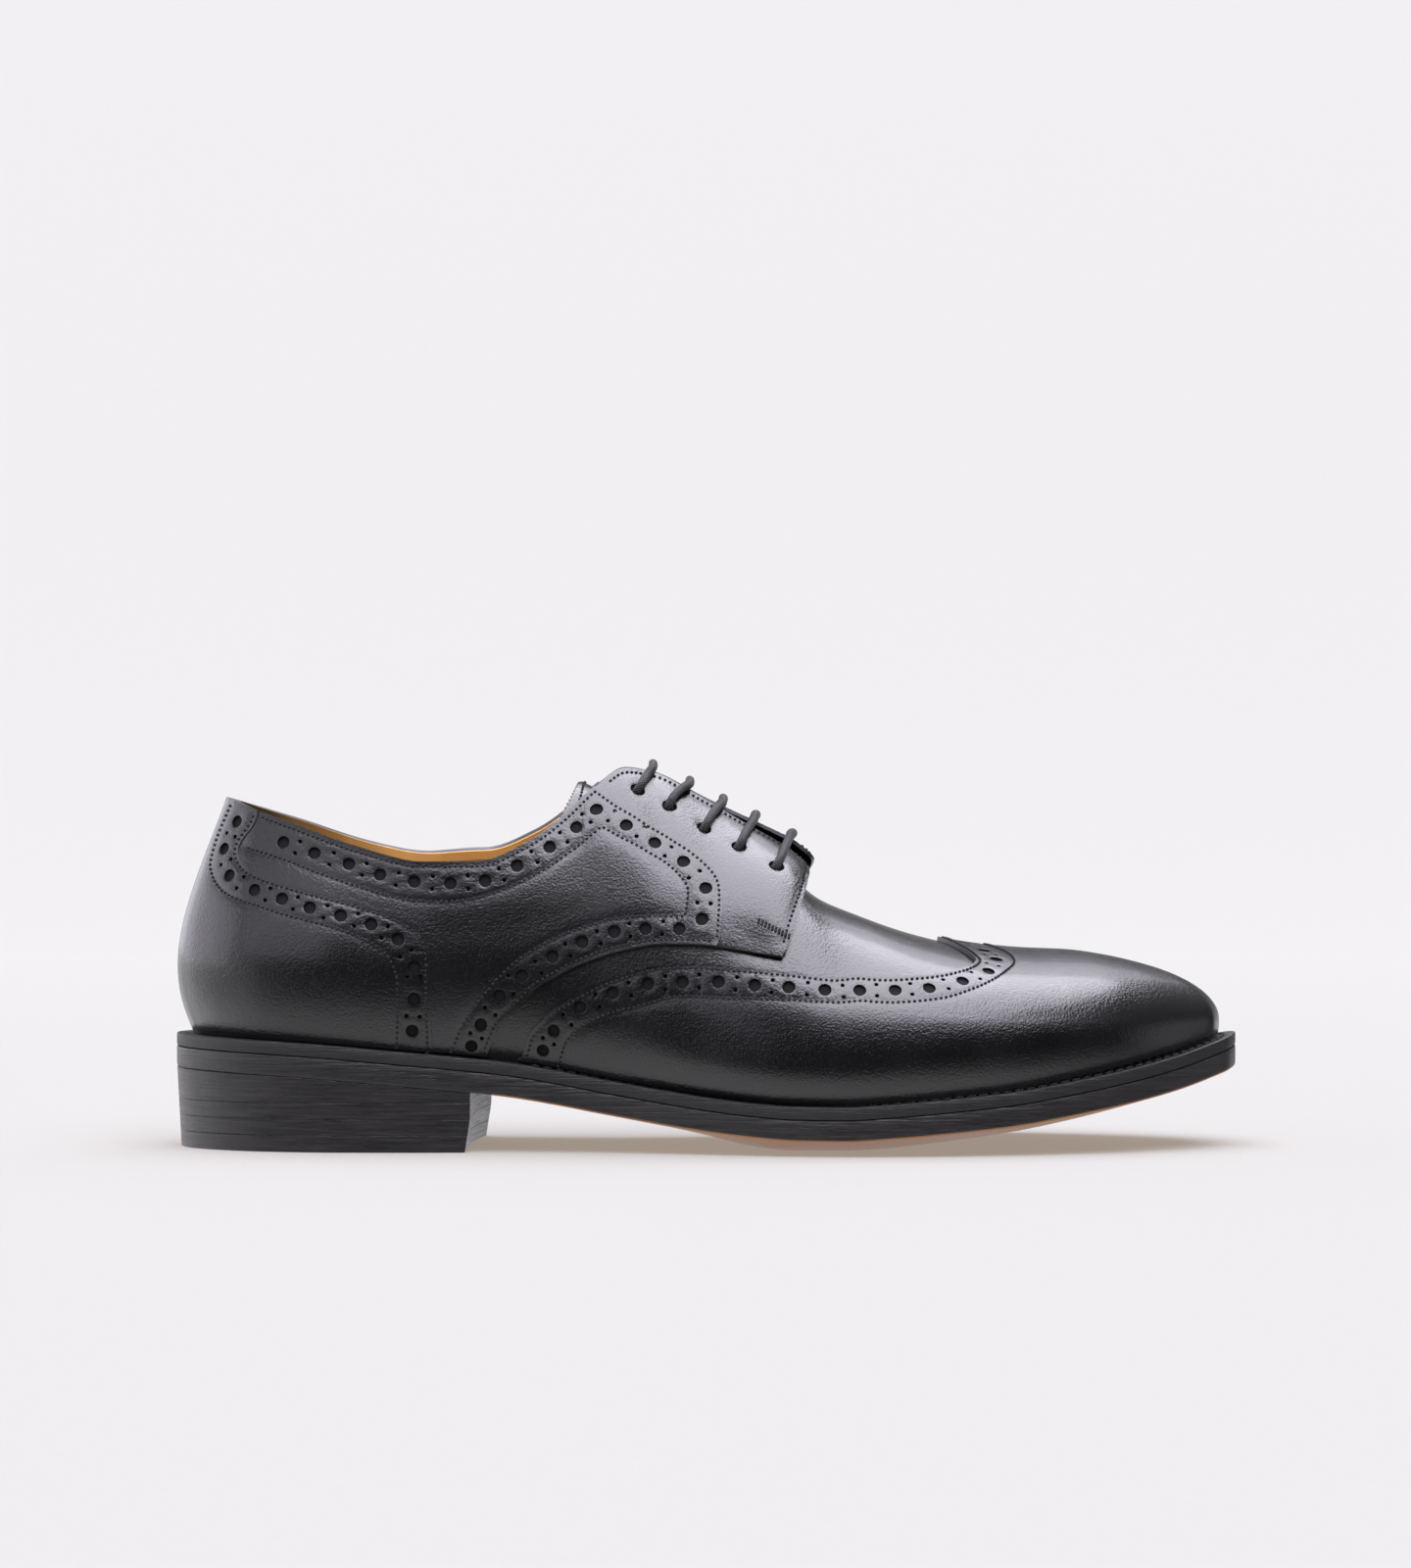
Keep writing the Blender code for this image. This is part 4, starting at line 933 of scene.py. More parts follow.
quarter_rows = [quarter_row, seam(QUARTER_INNER_TOP), seam(QUARTER_INNER_LOW), seam(COLLAR_LOWER),
                beside(collar_edge, -COLLAR_MARGIN), beside(lower_edge, -LOWER_MARGIN)[2:-1]]
facing_front = seam(FACING_FRONT)
behind = beside(quarter_row, -FACING_LAP)
behind[0] = (behind[0, 0], TOP_EDGE)
facing_foot = lower_edge[lower_edge[:, 0] > FACING_BACK]
facing_outline = joined(facing_foot[::-1], facing_front[::-1], straight(facing_front[0], behind[0]),
                        behind[behind[:, 1] > facing_foot[-1, 1] + 1.0])
throat_edge = straight((9.30 * PER_RIB, TOP_EDGE), (13.9 * PER_RIB, TOP_EDGE))
facing_rows = [beside(facing_front, -FACING_MARGIN)[1:-1], beside(throat_edge, -THROAT_MARGIN)]
eyelet_line = flat([row[:2] for row in EYELETS])
eyelets = [(centre, EYELET_HOLE, EYELET_CORNERS) for centre in eyelet_line]
quarter_holes = hole_set(COLLAR_HOLES) + hole_set(LOWER_HOLES)
stay_ends = eyelet_line[:1] - (STAY_END, -1.0), eyelet_line[-1:] + (STAY_END, 0.0)
stay_line = smooth_line(np.vstack((stay_ends[0], eyelet_line, stay_ends[1])), 1.3)
stay_outline = joined(beside(stay_line, -STAY_HALF), beside(stay_line, STAY_HALF)[::-1])


def same(lines):
    """What stays on the outer side."""
    return lines


def turned_over(line):
    """Line on the inner side, run the other way so that it still turns the same way."""
    return mirrored(line)[::-1]


for name, turn, place in (("lateral", same, same), ("medial", turned_over, other_holes)):
    panel("quarter_calf_" + name, turn(quarter_outline), place(quarter_holes),
          [turn(row) for row in quarter_rows], PANEL_FOOT, QUARTER_HIGH, "quarter_" + name)
    panel("facing_calf_" + name, turn(facing_outline), place(eyelets), [turn(row) for row in facing_rows],
          FACING_FOOT, FACING_HIGH, "facing_" + name, lift=facing_lift, closed=True)
    panel("eyelet_stay_" + name, turn(stay_outline), [], [], -0.25, 0.1,
          lift=facing_lift, closed=True, cloth=True)

# %% [markdown]
# ## Vamp skin and lining
# Under the panels lies the upper itself: a skin of black calf over the whole last and a tan lining
# inside it. Both are grids round the shoe whose two halves weld at the heel, the toe and the ridge.

# %% Skin and lining
def grid_faces(rows, columns):
    """Quads of a block of points that run left to right, then up."""
    index = np.arange(rows * columns).reshape(rows, columns)
    return np.stack((index[:-1, :-1], index[:-1, 1:], index[1:, 1:], index[1:, :-1]), axis=-1).reshape(-1, 4)


def wrap(columns, low, rows, height, drop=0.0, end=None):
    """Points, directions and quads round the shoe; the throat edge may drop and the toe end stay open."""
    a, share = np.meshgrid(np.linspace(0.0, 2 * TOE, columns), np.linspace(0.0, 1.0, rows))
    rib_place = np.minimum(a, 2 * TOE - a) / PER_RIB
    throat = np.clip((rib_place - 9.0) / 1.0, 0.0, 1.0)
    b = low + (TOP_EDGE - drop * throat - low) * share
    top, normal = skin(np.stack((a, b), axis=-1).reshape(-1, 2), height)
    faces = grid_faces(rows, columns)
    if end:
        faces = faces[(rib_place.reshape(-1)[faces] <= end).all(axis=1)]
    return top, normal, faces


SKIN_THICKNESS, LINING_THICKNESS = 0.9, 0.6
SKIN_COLUMNS, LINING_COLUMNS, LINING_END = 385, 289, 19.0
SKIN_TUCK, LINING_FOOT, LINING_DROP, LINING_GAP = 0.6, 1.2, 1.3, 0.05
top, normal, faces = wrap(SKIN_COLUMNS, 0.0, 41, 0.0)
top[:SKIN_COLUMNS, 2] -= SKIN_TUCK
bm = lay_sheet(top, normal, faces, SKIN_THICKNESS)
add_piece("upper_calf", bm, (calf, calf_edge_with_painted_highlight), "black_calf", "upper")
sheet = wrap(LINING_COLUMNS, LINING_FOOT, 33, -SKIN_THICKNESS - LINING_GAP, LINING_DROP, LINING_END)
bm = lay_sheet(*sheet, LINING_THICKNESS, ease=0.1, closed=True)
add_piece("upper_lining", bm, (lining, lining), "tan_sole_leather")

# %% [markdown]
# ## Sole
# The outsole is one thick piece of leather: its edge is trimmed square, dyed black and burnished, and
# its underside stays tan. It is crowned, so that a line of tan shows under the black edge. The welt on
# top of it is a separate strip, and the heel is a stack of lifts under the seat.

# %% Outsole, welt and insole
EDGE_HEIGHT, WELT_THICKNESS, WELT_WIDTH, CROWN_POWER, BED_DIP = 9.6, 3.6, 9.2, 2.2, 0.25
PER_STEP, JOINT, TAN_FROM, TAN_TILT = 7, 0.12, -60.0, -0.4
SOCK_IN, SOCK_ABOVE, SOCK_ROUND, SOCK_DEEP = 1.9, 1.5, 0.4, 3.0


def around(per_rib):
    """Rib places and sides once round the sole."""
    s = np.linspace(0.0, LAST_RIB, LAST_RIB * per_rib + 1)
    side = np.concatenate((-np.ones(len(s)), np.ones(len(s) - 1)))
    return np.concatenate((s, s[::-1][1:])), side


def spine(s):
    """Middle line of the sole in plan."""
    middle = 0.5 * (rib(s, "sole_med") - rib(s, "sole_lat"))
    return stack(rib(s, "spine_x"), middle, np.zeros_like(middle))


def tread(x, share):
    """Underside of the outsole, from 0 at the middle line to 1 at the edge."""
    hang = profile(x, "crown") * (1 - share ** CROWN_POWER)
    return np.maximum(profile(x, "welt_top") - EDGE_HEIGHT - hang, 0.0)


def bed(x, share):
    """Crosswise dip on top of welt and outsole."""
    return profile(x, "welt_top") - BED_DIP * profile(x, "crown") * (1 - share ** CROWN_POWER)


def plate_row(inset, share, height):
    """Row of points round the sole between its middle line and its edge."""
    s, side = around(PER_STEP)
    point = spine(s) * (1 - share) + inset_point(s, side, inset * np.ones_like(s)) * share
    point[:, 2] = height(point[:, 0])
    return point


SOLE_RIM = ((0.75, 0.0), (0.3, 0.14), (0.06, 0.5), (0.0, 1.2), (0.0, 3.2), (0.0, 5.3), (0.12, 5.72),
            (0.45, 5.88))
shares = np.linspace(0.0, 1.0, 15)
rows = [plate_row(SOLE_RIM[0][0], share, lambda x: tread(x, share)) for share in shares[:-1]]
rows += [plate_row(inset, 1.0, lambda x: tread(x, 1.0) + up) for inset, up in SOLE_RIM]
rows += [plate_row(SOLE_RIM[-1][0], share, lambda x: bed(x, share) - WELT_THICKNESS - JOINT)
         for share in (0.7, 0.0)]
bm = grid_mesh(np.array(rows))
bm.normal_update()
for face in bm.faces:
    under_heel = face.calc_center_median().x < TAN_FROM
    face.material_index = 0 if face.normal.z < TAN_TILT and not under_heel else 1
add_piece("outsole_leather", bm, (sole_tan, sole_edge), "tan_sole_leather", "outsole", sharp=35.0)

WELT_SECTION = ((WELT_WIDTH, -3.6), (0.5, -3.6), (0.12, -3.48), (0.0, -3.1), (0.0, -1.8), (0.0, -0.6),
                (0.12, -0.22), (0.45, -0.04), (1.2, 0.0), (2.6, 0.0), (3.4, -0.12), (4.2, 0.0),
                (WELT_WIDTH, 0.05), (WELT_WIDTH, -3.6))
rows = [plate_row(inset, 1.0, lambda x: profile(x, "welt_top") + up) for inset, up in WELT_SECTION]
bm = grid_mesh(np.array(rows))
add_piece("welt_strip", bm, (welt_top,), "black_edge", "welt", sharp=35.0)

sock_inset = rib(around(PER_STEP)[0], "inset") + SOCK_IN
rows = [plate_row(sock_inset, share, lambda x: bed(x, share) + SOCK_ABOVE)
        for share in (1.0, 0.96, 0.85, 0.6, 0.3, 0.0)]
rows[0][:, 2] -= SOCK_ROUND
rows.insert(0, rows[0] - (0.0, 0.0, SOCK_DEEP))
bm = grid_mesh(np.array(rows))
add_piece("insole_sock", bm, (lining,), "tan_sole_leather", "insole")

# %% [markdown]
# ## Heel
# Each lift is a ring lofted between two heights with a fine chamfer, so that the joints show as thin
# lines. The breast, the front face of the heel, is slightly hollow. Each row of the table gives the
# solid that a lift stands for, its bottom and its top; the last one ends under the seat.

# %% Heel lifts
HEEL_LAYERS = (("top_lift", 0.0, 4.62), ("heel_lift_1", 4.65, 9.12), ("heel_lift_2", 9.15, 13.62),
               ("heel_lift_3", 13.65, None))
HEEL_CHAMFER, HEEL_END, HEEL_STEPS = 0.09, 6.0, 61
HEEL_INSET, HEEL_TAPER, HEEL_BACK_HEIGHT = 0.1, 1.2, 22.4
BREAST_LATERAL, BREAST_MEDIAL, BREAST_RAKE, BREAST_HOLLOW = -65.5, -62.5, 1.5, 1.5
SEAT_GAP = 0.03


def heel_ring(height, shrink):
    """Outline of the heel at a height: outer rim, inner rim, then the hollow breast."""
    share = np.linspace(0.0, 1.0, HEEL_STEPS)
    s = np.concatenate((HEEL_END * (1 - share), HEEL_END * share[1:]))
    side = np.concatenate((-np.ones(HEEL_STEPS), np.ones(HEEL_STEPS - 1)))
    z = height(edge_point(s, side)[:, 0])
    point = inset_point(s, side, HEEL_INSET + shrink + HEEL_TAPER * (1 - z / HEEL_BACK_HEIGHT))
    rake = BREAST_RAKE * (1 - np.minimum(z / EDGE_HEIGHT, 1.0))
    breast = np.where(side < 0, BREAST_LATERAL, BREAST_MEDIAL) - rake - shrink
    point[:, 0] = np.where(s == HEEL_END, breast, np.minimum(point[:, 0], breast - 0.2 * (HEEL_END - s)))
    across = np.linspace(0.0, 1.0, 14)[1:-1, None]
    front = point[-1] * (1 - across) + point[0] * across
    front[:, 0] -= BREAST_HOLLOW * np.sin(math.pi * across[:, 0])
    loop = np.vstack((point, front, point[:1]))[::-1]
    loop[:, 2] = height(loop[:, 0])
    return loop


def heel_seat(x):
    """Underside of the sole over the heel."""
    return profile(x, "welt_top") - EDGE_HEIGHT - SEAT_GAP


def level(z):
    """Plane at one height."""
    return lambda x: np.full_like(x, z)


for name, low, high in HEEL_LAYERS:
    top_of = heel_seat if high is None else level(high)
    levels = [heel_ring(level(low), HEEL_CHAMFER), heel_ring(level(low + HEEL_CHAMFER), 0.0),
              heel_ring(lambda x: top_of(x) - HEEL_CHAMFER, 0.0), heel_ring(top_of, HEEL_CHAMFER)]
    ends = [np.repeat(loop.mean(axis=0)[None], len(loop), axis=0) for loop in (levels[0], levels[-1])]
    bm = grid_mesh(np.array([ends[0]] + levels + [ends[1]]))
    add_piece(name + "_leather", bm, (heel_edge,), "black_edge", name, sharp=30.0)

# %% [markdown]
# ## Tongue
# The tongue grows out of the vamp, lies under the facings and shows its pinked rear edge above them.
# It is a sheet across the throat, eased into a round back so that no fold shows at the throat edges.

# %% Tongue
def throat_row(s):
    """Points across the throat at a rib, from one side to the other, eased into a soft arch."""
    v = np.linspace(1.70, 2.0, 13)
    outer = last_point(s, -1.0, v)
    inner = last_point(s, 1.0, v[::-1])
    across = np.linspace(0.0, 1.0, 15)[1:-1, None]
    row = np.vstack((outer, outer[-1] * (1 - across) + inner[0] * across, inner))
    for step in range(30):
        row[1:-1] = 0.5 * row[1:-1] + 0.25 * (row[:-2] + row[2:])
    return row


TONGUE_REACH, TONGUE_SAG, TONGUE_NARROW, TONGUE_SWEEP = 12.5, 2.4, 0.16, 0.81
TONGUE_DIP, TONGUE_UNDER, TONGUE_THICKNESS = 0.5, WALL + 0.85, 1.7
PINK_DEPTH, PINKS, TONGUE_SEAM_ROW = 0.6, 40, 2
tail = np.linspace(1.0, 0.0, 12)[:-1]
first = throat_row(10.0)
rows = []
for share in tail:
    row = first * (1.0, 1.0 - TONGUE_NARROW * share, 1.0) + (-TONGUE_REACH * share, 0.0, 0.0)
    row[:, 2] -= TONGUE_SAG * math.sin(math.pi * share) ** 2 + TONGUE_DIP * share * share
    row[:, 0] -= TONGUE_SWEEP * share * (row[:, 2].max() - row[:, 2])
    rows.append(row)
rows += [throat_row(s) for s in np.linspace(10.0, 16.0, 37)]
block = np.array(rows)
fine = np.linspace(0.0, block.shape[1] - 1.0, PINKS * 4 + 1)
low = np.minimum(fine.astype(int), block.shape[1] - 2)
part = (fine - low)[None, :, None]
block = block[:, low] * (1 - part) + block[:, low + 1] * part
zigzag = np.abs((np.arange(PINKS * 4 + 1) / 4.0) % 1.0 - 0.5) * 2.0
block[0, :, 0] += PINK_DEPTH * (zigzag - 0.5)
along = np.gradient(block, axis=0)
across = np.gradient(block, axis=1)
outward = unit(np.cross(across, along))
outward *= np.sign(outward[..., 2:].mean())
block = block - outward * TONGUE_UNDER
tongue_seam, tongue_out = block[TONGUE_SEAM_ROW], outward[TONGUE_SEAM_ROW]
faces = grid_faces(*block.shape[:2])
bm = lay_sheet(block.reshape(-1, 3), outward.reshape(-1, 3), faces[:, ::-1], TONGUE_THICKNESS,
               ease=0.15, closed=True)
bmesh.ops.recalc_face_normals(bm, faces=bm.faces)
add_piece("tongue_calf", bm, (calf, calf_edge_with_painted_highlight), "black_calf", "tongue")

# %% [markdown]
# ## Lace
# Five straight bars of round waxed cord, each coming out of one eyelet, over the facings and down the
# other. A tube is swept along a smooth path; its UV runs round and along, which the braid follows.

# %% Lace bars
LACE_RADIUS = 1.25


def soft_path(knots, count):
    """Smooth path of evenly spread points through some knots."""
    knots = np.asarray(knots, float)
    ghost = np.vstack((2 * knots[0] - knots[1], knots, 2 * knots[-1] - knots[-2]))
    at = np.linspace(0.0, len(knots) - 1.0, count)
    i = np.minimum(at.astype(int), len(knots) - 2)
    t = (at - i)[:, None]
    a, b, c, d = ghost[i], ghost[i + 1], ghost[i + 2], ghost[i + 3]
    square, cube = 2 * a - 5 * b + 4 * c - d, 3 * b - a - 3 * c + d
    return 0.5 * (2 * b + (c - a) * t + square * t ** 2 + cube * t ** 3)


def tube(name, path, radius, material, slot, *replaced, corners=12):
    """Round cord along a path, closed at both ends, with a UV round and along it."""
    along = unit(np.gradient(path, axis=0))
    side = unit(np.cross(along, np.array((1.0, 0.0, 0.0))))
    up = np.cross(side, along)
    turn = np.linspace(0.0, 2 * math.pi, corners + 1)
    ring_of = np.cos(turn)[None, :, None] * side[:, None] + np.sin(turn)[None, :, None] * up[:, None]
    wall = path[:, None] + ring_of * radius
    caps = [np.repeat(path[k][None, None], corners + 1, axis=1) for k in (0, -1)]
    block = np.vstack((caps[0], wall, caps[1]))
    bm = grid_mesh(block)
    bmesh.ops.recalc_face_normals(bm, faces=bm.faces)
    run = run_along(path)
    uv = bm.loops.layers.uv.new("UVMap")
    tree = point_tree(path)
    for face in bm.faces:
        turns = []
        for loop in face.loops:
            place, k, away = tree.find(loop.vert.co)
            out = np.array(loop.vert.co) - path[k]
            turns.append((math.atan2(out @ up[k], out @ side[k]) / (2 * math.pi), run[k] / 10.0))
        base_turn = turns[0][0]
        for loop, (round_part, long_part) in zip(face.loops, turns):
            loop[uv].uv = (round_part - round(round_part - base_turn), long_part)
    return add_piece(name, bm, (material,), slot, *replaced, sharp=60.0)


def over_facing(row, side, share, height):
    """Point above the facing between an eyelet and the throat edge."""
    s, v, edge_s = row
    place = [np.array([value]) for value in (s + (edge_s - s) * share, float(side), v + (2.0 - v) * share)]
    point, normal = last_point(*place), last_normal(*place)
    return (point + normal * (height + facing_lift(point))[:, None])[0]


SEAT = FACING_HIGH + LACE_RADIUS + 0.1
down_in = ((-0.02, -0.6), (0.0, 0.9), (0.10, SEAT - 0.35), (0.30, SEAT + 0.1), (0.62, SEAT + 0.1),
           (1.0, SEAT + 0.2))
for number, row in enumerate(EYELETS, 1):
    outer = [over_facing(row, -1, share, np.array([height])) for share, height in down_in]
    inner = [over_facing(row, 1, share, np.array([height])) for share, height in down_in]
    middle = 0.5 * (outer[-1] + inner[-1]) + (0.0, 0.0, 1.0)
    path = soft_path(outer + [middle] + inner[::-1], 90)
    tube("lace_%d" % number, path, LACE_RADIUS, cord, "waxed_lace", "lace_bar_%d" % number)

# %% [markdown]
# ## Stitches
# A seam is a row of short thread humps, each sinking into the leather at both ends. One hump is
# modelled once as a bent capsule; arrays copy it to every stitch, and all rows of one thread are joined
# into one mesh. The bar tack at the foot of the throat is a short row of stitches set across.

# %% Thread rows
def capsule(corners=6, rings=5):
    """Thread hump one unit long and one wide, its ends dipping down."""
    along = np.linspace(-0.5, 0.5, rings + 2)
    girth = np.sqrt(np.maximum(1.0 - (2 * along) ** 2, 0.0)) ** 0.6
    turn = np.linspace(0.0, 2 * math.pi, corners, endpoint=False)
    points = np.array([(x, 0.5 * g * math.cos(k), 0.5 * g * math.sin(k) - 0.9 * (2 * x) ** 4 * 0.5)
                       for x, g in zip(along, girth) for k in turn])
    faces = [(r * corners + c, r * corners + (c + 1) % corners, (r + 1) * corners + (c + 1) % corners,
              (r + 1) * corners + c) for r in range(rings + 1) for c in range(corners)]
    uv = np.stack((np.repeat(along + 0.5, corners), np.tile(turn / 6.283, rings + 2)), -1)
    return points, np.array(faces), uv


def thread_mesh(name, groups, material, slot):
    """Joined mesh of stitches from (places, along, outward, length, width) groups."""
    shape, faces, shape_uv = capsule()
    points, polygons, uvs, count = [], [], [], 0
    for place, along, out, length, width in groups:
        along = unit(along)
        out = unit(out - along * (out * along).sum(-1, keepdims=True))
        side = np.cross(out, along)
        block = (place[:, None] + shape[None, :, :1] * length * along[:, None]
                 + shape[None, :, 1:2] * width * side[:, None] + shape[None, :, 2:] * width * out[:, None])
        points.append(block.reshape(-1, 3))
        start = count + np.arange(len(place))[:, None, None] * len(shape)
        polygons.append((faces[None] + start).reshape(-1, 4))
        uvs.append(np.tile(shape_uv, (len(place), 1)))
        count += len(place) * len(shape)
    points, polygons, uvs = np.vstack(points), np.vstack(polygons), np.vstack(uvs)
    mesh = bpy.data.meshes.new(name)
    mesh.from_pydata(points * MM, [], polygons.tolist())
    layer = mesh.uv_layers.new(name="UVMap")
    layer.data.foreach_set("uv", uvs[polygons.reshape(-1)].reshape(-1))
    bm = bmesh.new()
    bm.from_mesh(mesh)
    bmesh.ops.remove_doubles(bm, verts=bm.verts, dist=0.000001)
    bmesh.ops.scale(bm, vec=(1 / MM, 1 / MM, 1 / MM), verts=bm.verts)
    bpy.data.meshes.remove(mesh)
    return add_piece(name, bm, (material,), slot, sharp=80.0)


STITCH_PITCH, STITCH_LENGTH, STITCH_WIDTH, STITCH_ABOVE = 1.5, 1.0, 0.8, 0.16


def respaced(points, pitch, *others):
    """Points, and rows that go with them, evenly spread along their line at about a pitch."""
    run = run_along(points)
    goal = np.linspace(0.0, run[-1], int(run[-1] / pitch) + 1)
    return [np.stack([np.interp(goal, run, part[:, k]) for k in range(3)], axis=-1)
            for part in (points,) + others]


def stitch_row(line, height, pitch=STITCH_PITCH, length=STITCH_LENGTH, width=STITCH_WIDTH, lift=None):
    """Stitches along a flat line at a panel's height."""
    line = even_line(line, pitch)
    middle = 0.5 * (line[:-1] + line[1:])
    place, normal = skin(middle, height - GROOVE_DEPTH + STITCH_ABOVE, lift)
    ends = skin(line, height, lift)[0]
    return place, np.diff(ends, axis=0), normal, length, width


TACK_START, TACK_STEP, TACK_STITCHES = (12.60, 1.465), (0.07 * PER_RIB, -0.12), 10
TACK_FROM, TACK_TO, TACK_LIFT = (-0.2, -0.55), (0.3, 0.55), 0.2
LOWER_ROW_SPLIT = 11.6 * PER_RIB
rows = [stitch_row(row, WING_HIGH) for row in wing_rows]
rows += [stitch_row(row, COUNTER_HIGH) for row in counter_rows]
tack = [flat((TACK_START,))[0] + k * np.array(TACK_STEP) for k in range(TACK_STITCHES)]
tack = [straight(place + TACK_FROM, place + TACK_TO, 0.4) for place in tack]
for turn in (same, mirrored):
    rows += [stitch_row(turn(row), QUARTER_HIGH) for row in quarter_rows[:5]]
    edge_row = quarter_rows[5]
    hind = edge_row[:, 0] < LOWER_ROW_SPLIT
    rows += [stitch_row(turn(edge_row[hind]), QUARTER_HIGH), stitch_row(turn(edge_row[~hind]), FACING_HIGH)]
    rows += [stitch_row(turn(row), FACING_HIGH, lift=facing_lift) for row in facing_rows]
    rows += [stitch_row(turn(line), FACING_HIGH + TACK_LIFT, 1.2, 1.4, 0.75, facing_lift) for line in tack]
line, out = respaced(tongue_seam, STITCH_PITCH, tongue_out)
rows.append((0.5 * (line[:-1] + line[1:]) + out[:-1] * 0.1, np.diff(line, axis=0), out[:-1],
             STITCH_LENGTH, STITCH_WIDTH))
thread_mesh("upper_stitches", rows, thread, "waxed_lace")

WELT_SEAM_START, WELT_SEAM_IN, WELT_PITCH = -50.0, 3.4, 3.4
WELT_STITCH_LENGTH, WELT_STITCH_WIDTH, WELT_STITCH_ABOVE = 3.0, 0.85, 0.12
s, side = around(12)
rim = inset_point(s, side, WELT_SEAM_IN * np.ones_like(s))
rim[:, 2] = profile(rim[:, 0], "welt_top")
rim = respaced(rim, WELT_PITCH)[0]
middle, run = 0.5 * (rim[:-1] + rim[1:]), np.diff(rim, axis=0)
fore = middle[:, 0] > WELT_SEAM_START
up = np.tile((0.0, 0.0, 1.0), (fore.sum(), 1))
welt_row = (middle[fore] + (0.0, 0.0, WELT_STITCH_ABOVE), run[fore], up, WELT_STITCH_LENGTH,
            WELT_STITCH_WIDTH)
thread_mesh("welt_stitches", [welt_row], thread, "waxed_lace")

LINING_SEAM_DOWN, LINING_STITCH_LENGTH, LINING_STITCH_WIDTH = 2.6, 1.7, 0.5
LINING_SEAM_DEPTH = SKIN_THICKNESS + LINING_THICKNESS + 0.12
collar = straight((0.4 * PER_RIB, TOP_EDGE), (9.4 * PER_RIB, TOP_EDGE))
inside_rows = []
for line in (beside(collar, -LINING_SEAM_DOWN), beside(mirrored(collar), LINING_SEAM_DOWN)):
    place, along, normal = stitch_row(line, 0.0)[:3]
    inside_rows.append((place - normal * LINING_SEAM_DEPTH, along, -normal, LINING_STITCH_LENGTH,
                        LINING_STITCH_WIDTH))
thread_mesh("lining_stitches", inside_rows, tan_thread, "tan_sole_leather")

# %% [markdown]
# ## Studio
# Polished leather shows the room around it, so the lamps are large soft panels. A wide softbox hangs
# overhead, a long panel in front draws the highlight along the wing, and dimmer ones stand at the left,
# behind the shoe and behind the heel. Each row gives a name, place, aim, size and radiance. Points
# spread over every panel are kept, to work out later how much light reaches the paper.

# %% Lights
LIGHTS = (
    ("overhead_softbox", (0.10, -0.10, 1.40), (0.10, -0.09, 0.0), (1.5, 2.3), 7.8),
    ("front_panel", (0.75, -1.65, 1.72), (0.05, 0.0, 0.05), (1.9, 0.45), 4.9),
    ("left_front_panel", (-1.30, -1.50, 1.02), (0.0, 0.0, 0.06), (1.5, 1.3), 1.2),
    ("back_panel", (0.25, 1.75, 1.55), (0.05, 0.0, 0.05), (1.6, 0.65), 2.1),
    ("left_back_panel", (-1.35, 1.35, 0.45), (-0.1, 0.0, 0.06), (1.5, 0.8), 1.35),
    ("heel_softbox", (-1.6, 0.10, 0.50), (-0.1, 0.0, 0.06), (1.5, 0.95), 2.0),
)
LAMP_COLOUR = (0.945, 0.925, 1.04)
PANEL_POINTS = 10
lit_points = []
for name, place, aim, size, radiance in LIGHTS:
    lamp = bpy.data.lights.new(name, "AREA")
    lamp.shape = "RECTANGLE"
    lamp.size, lamp.size_y = size
    lamp.energy = radiance * math.pi * size[0] * size[1]
    lamp.color = LAMP_COLOUR
    holder = bpy.data.objects.new(name, lamp)
    turn = (Vector(aim) - Vector(place)).to_track_quat("-Z", "Y")
    holder.location = place
    holder.rotation_euler = turn.to_euler()
    bpy.context.scene.collection.objects.link(holder)
    steps = (np.arange(PANEL_POINTS) + 0.5) / PANEL_POINTS - 0.5
    way = turn @ Vector((0.0, 0.0, -1.0))
    share = radiance * size[0] * size[1] / PANEL_POINTS ** 2
    for u in steps:
        for w in steps:
            spot = Vector(place) + turn @ Vector((u * size[0], w * size[1], 0.0))
            lit_points.append((*spot, *way, share))
lit_points = np.array(lit_points)
print("lights:", len(LIGHTS), "points on them:", len(lit_points))

# %% [markdown]
# ## Surroundings
# Between the panels the leather mirrors walls and floor. The world gives them as brightness by how far
# a direction rises, with stops of (z, value): one set all round, more at the left and behind, and a
# pale end wall at the right.

# %% Surroundings
SKY_ALL_ROUND = ((-1.0, 1.1), (-0.56, 1.1), (-0.32, 0.30), (-0.08, 0.06), (0.12, 0.07), (0.34, 0.12),
                 (0.5, 0.30))
SKY_LEFT = ((-1.0, 0.0), (-0.6, 0.3), (-0.43, 0.8), (-0.2, 0.9), (0.0, 0.6), (0.2, 0.3), (0.45, 0.0))
SKY_BEHIND = ((-0.7, 0.0), (-0.3, 0.9), (-0.05, 0.8), (0.1, 0.3), (0.25, 0.05), (0.4, 0.0))
SKY_RIGHT_END = 0.6
SKY_TINT = (0.99, 0.97, 1.0, 1.0)
world = bpy.data.worlds.new("studio_surroundings")
bpy.context.scene.world = world
world.use_nodes = True
tree = world.node_tree
tree.nodes.clear()
way = node(tree, "ShaderNodeTexCoord")
parts = node(tree, "ShaderNodeSeparateXYZ", (("Vector", way, "Generated"),))
rise = node(tree, "ShaderNodeMapRange", (("Value", parts, "Z"),), From_Min=-1.0, From_Max=1.0)


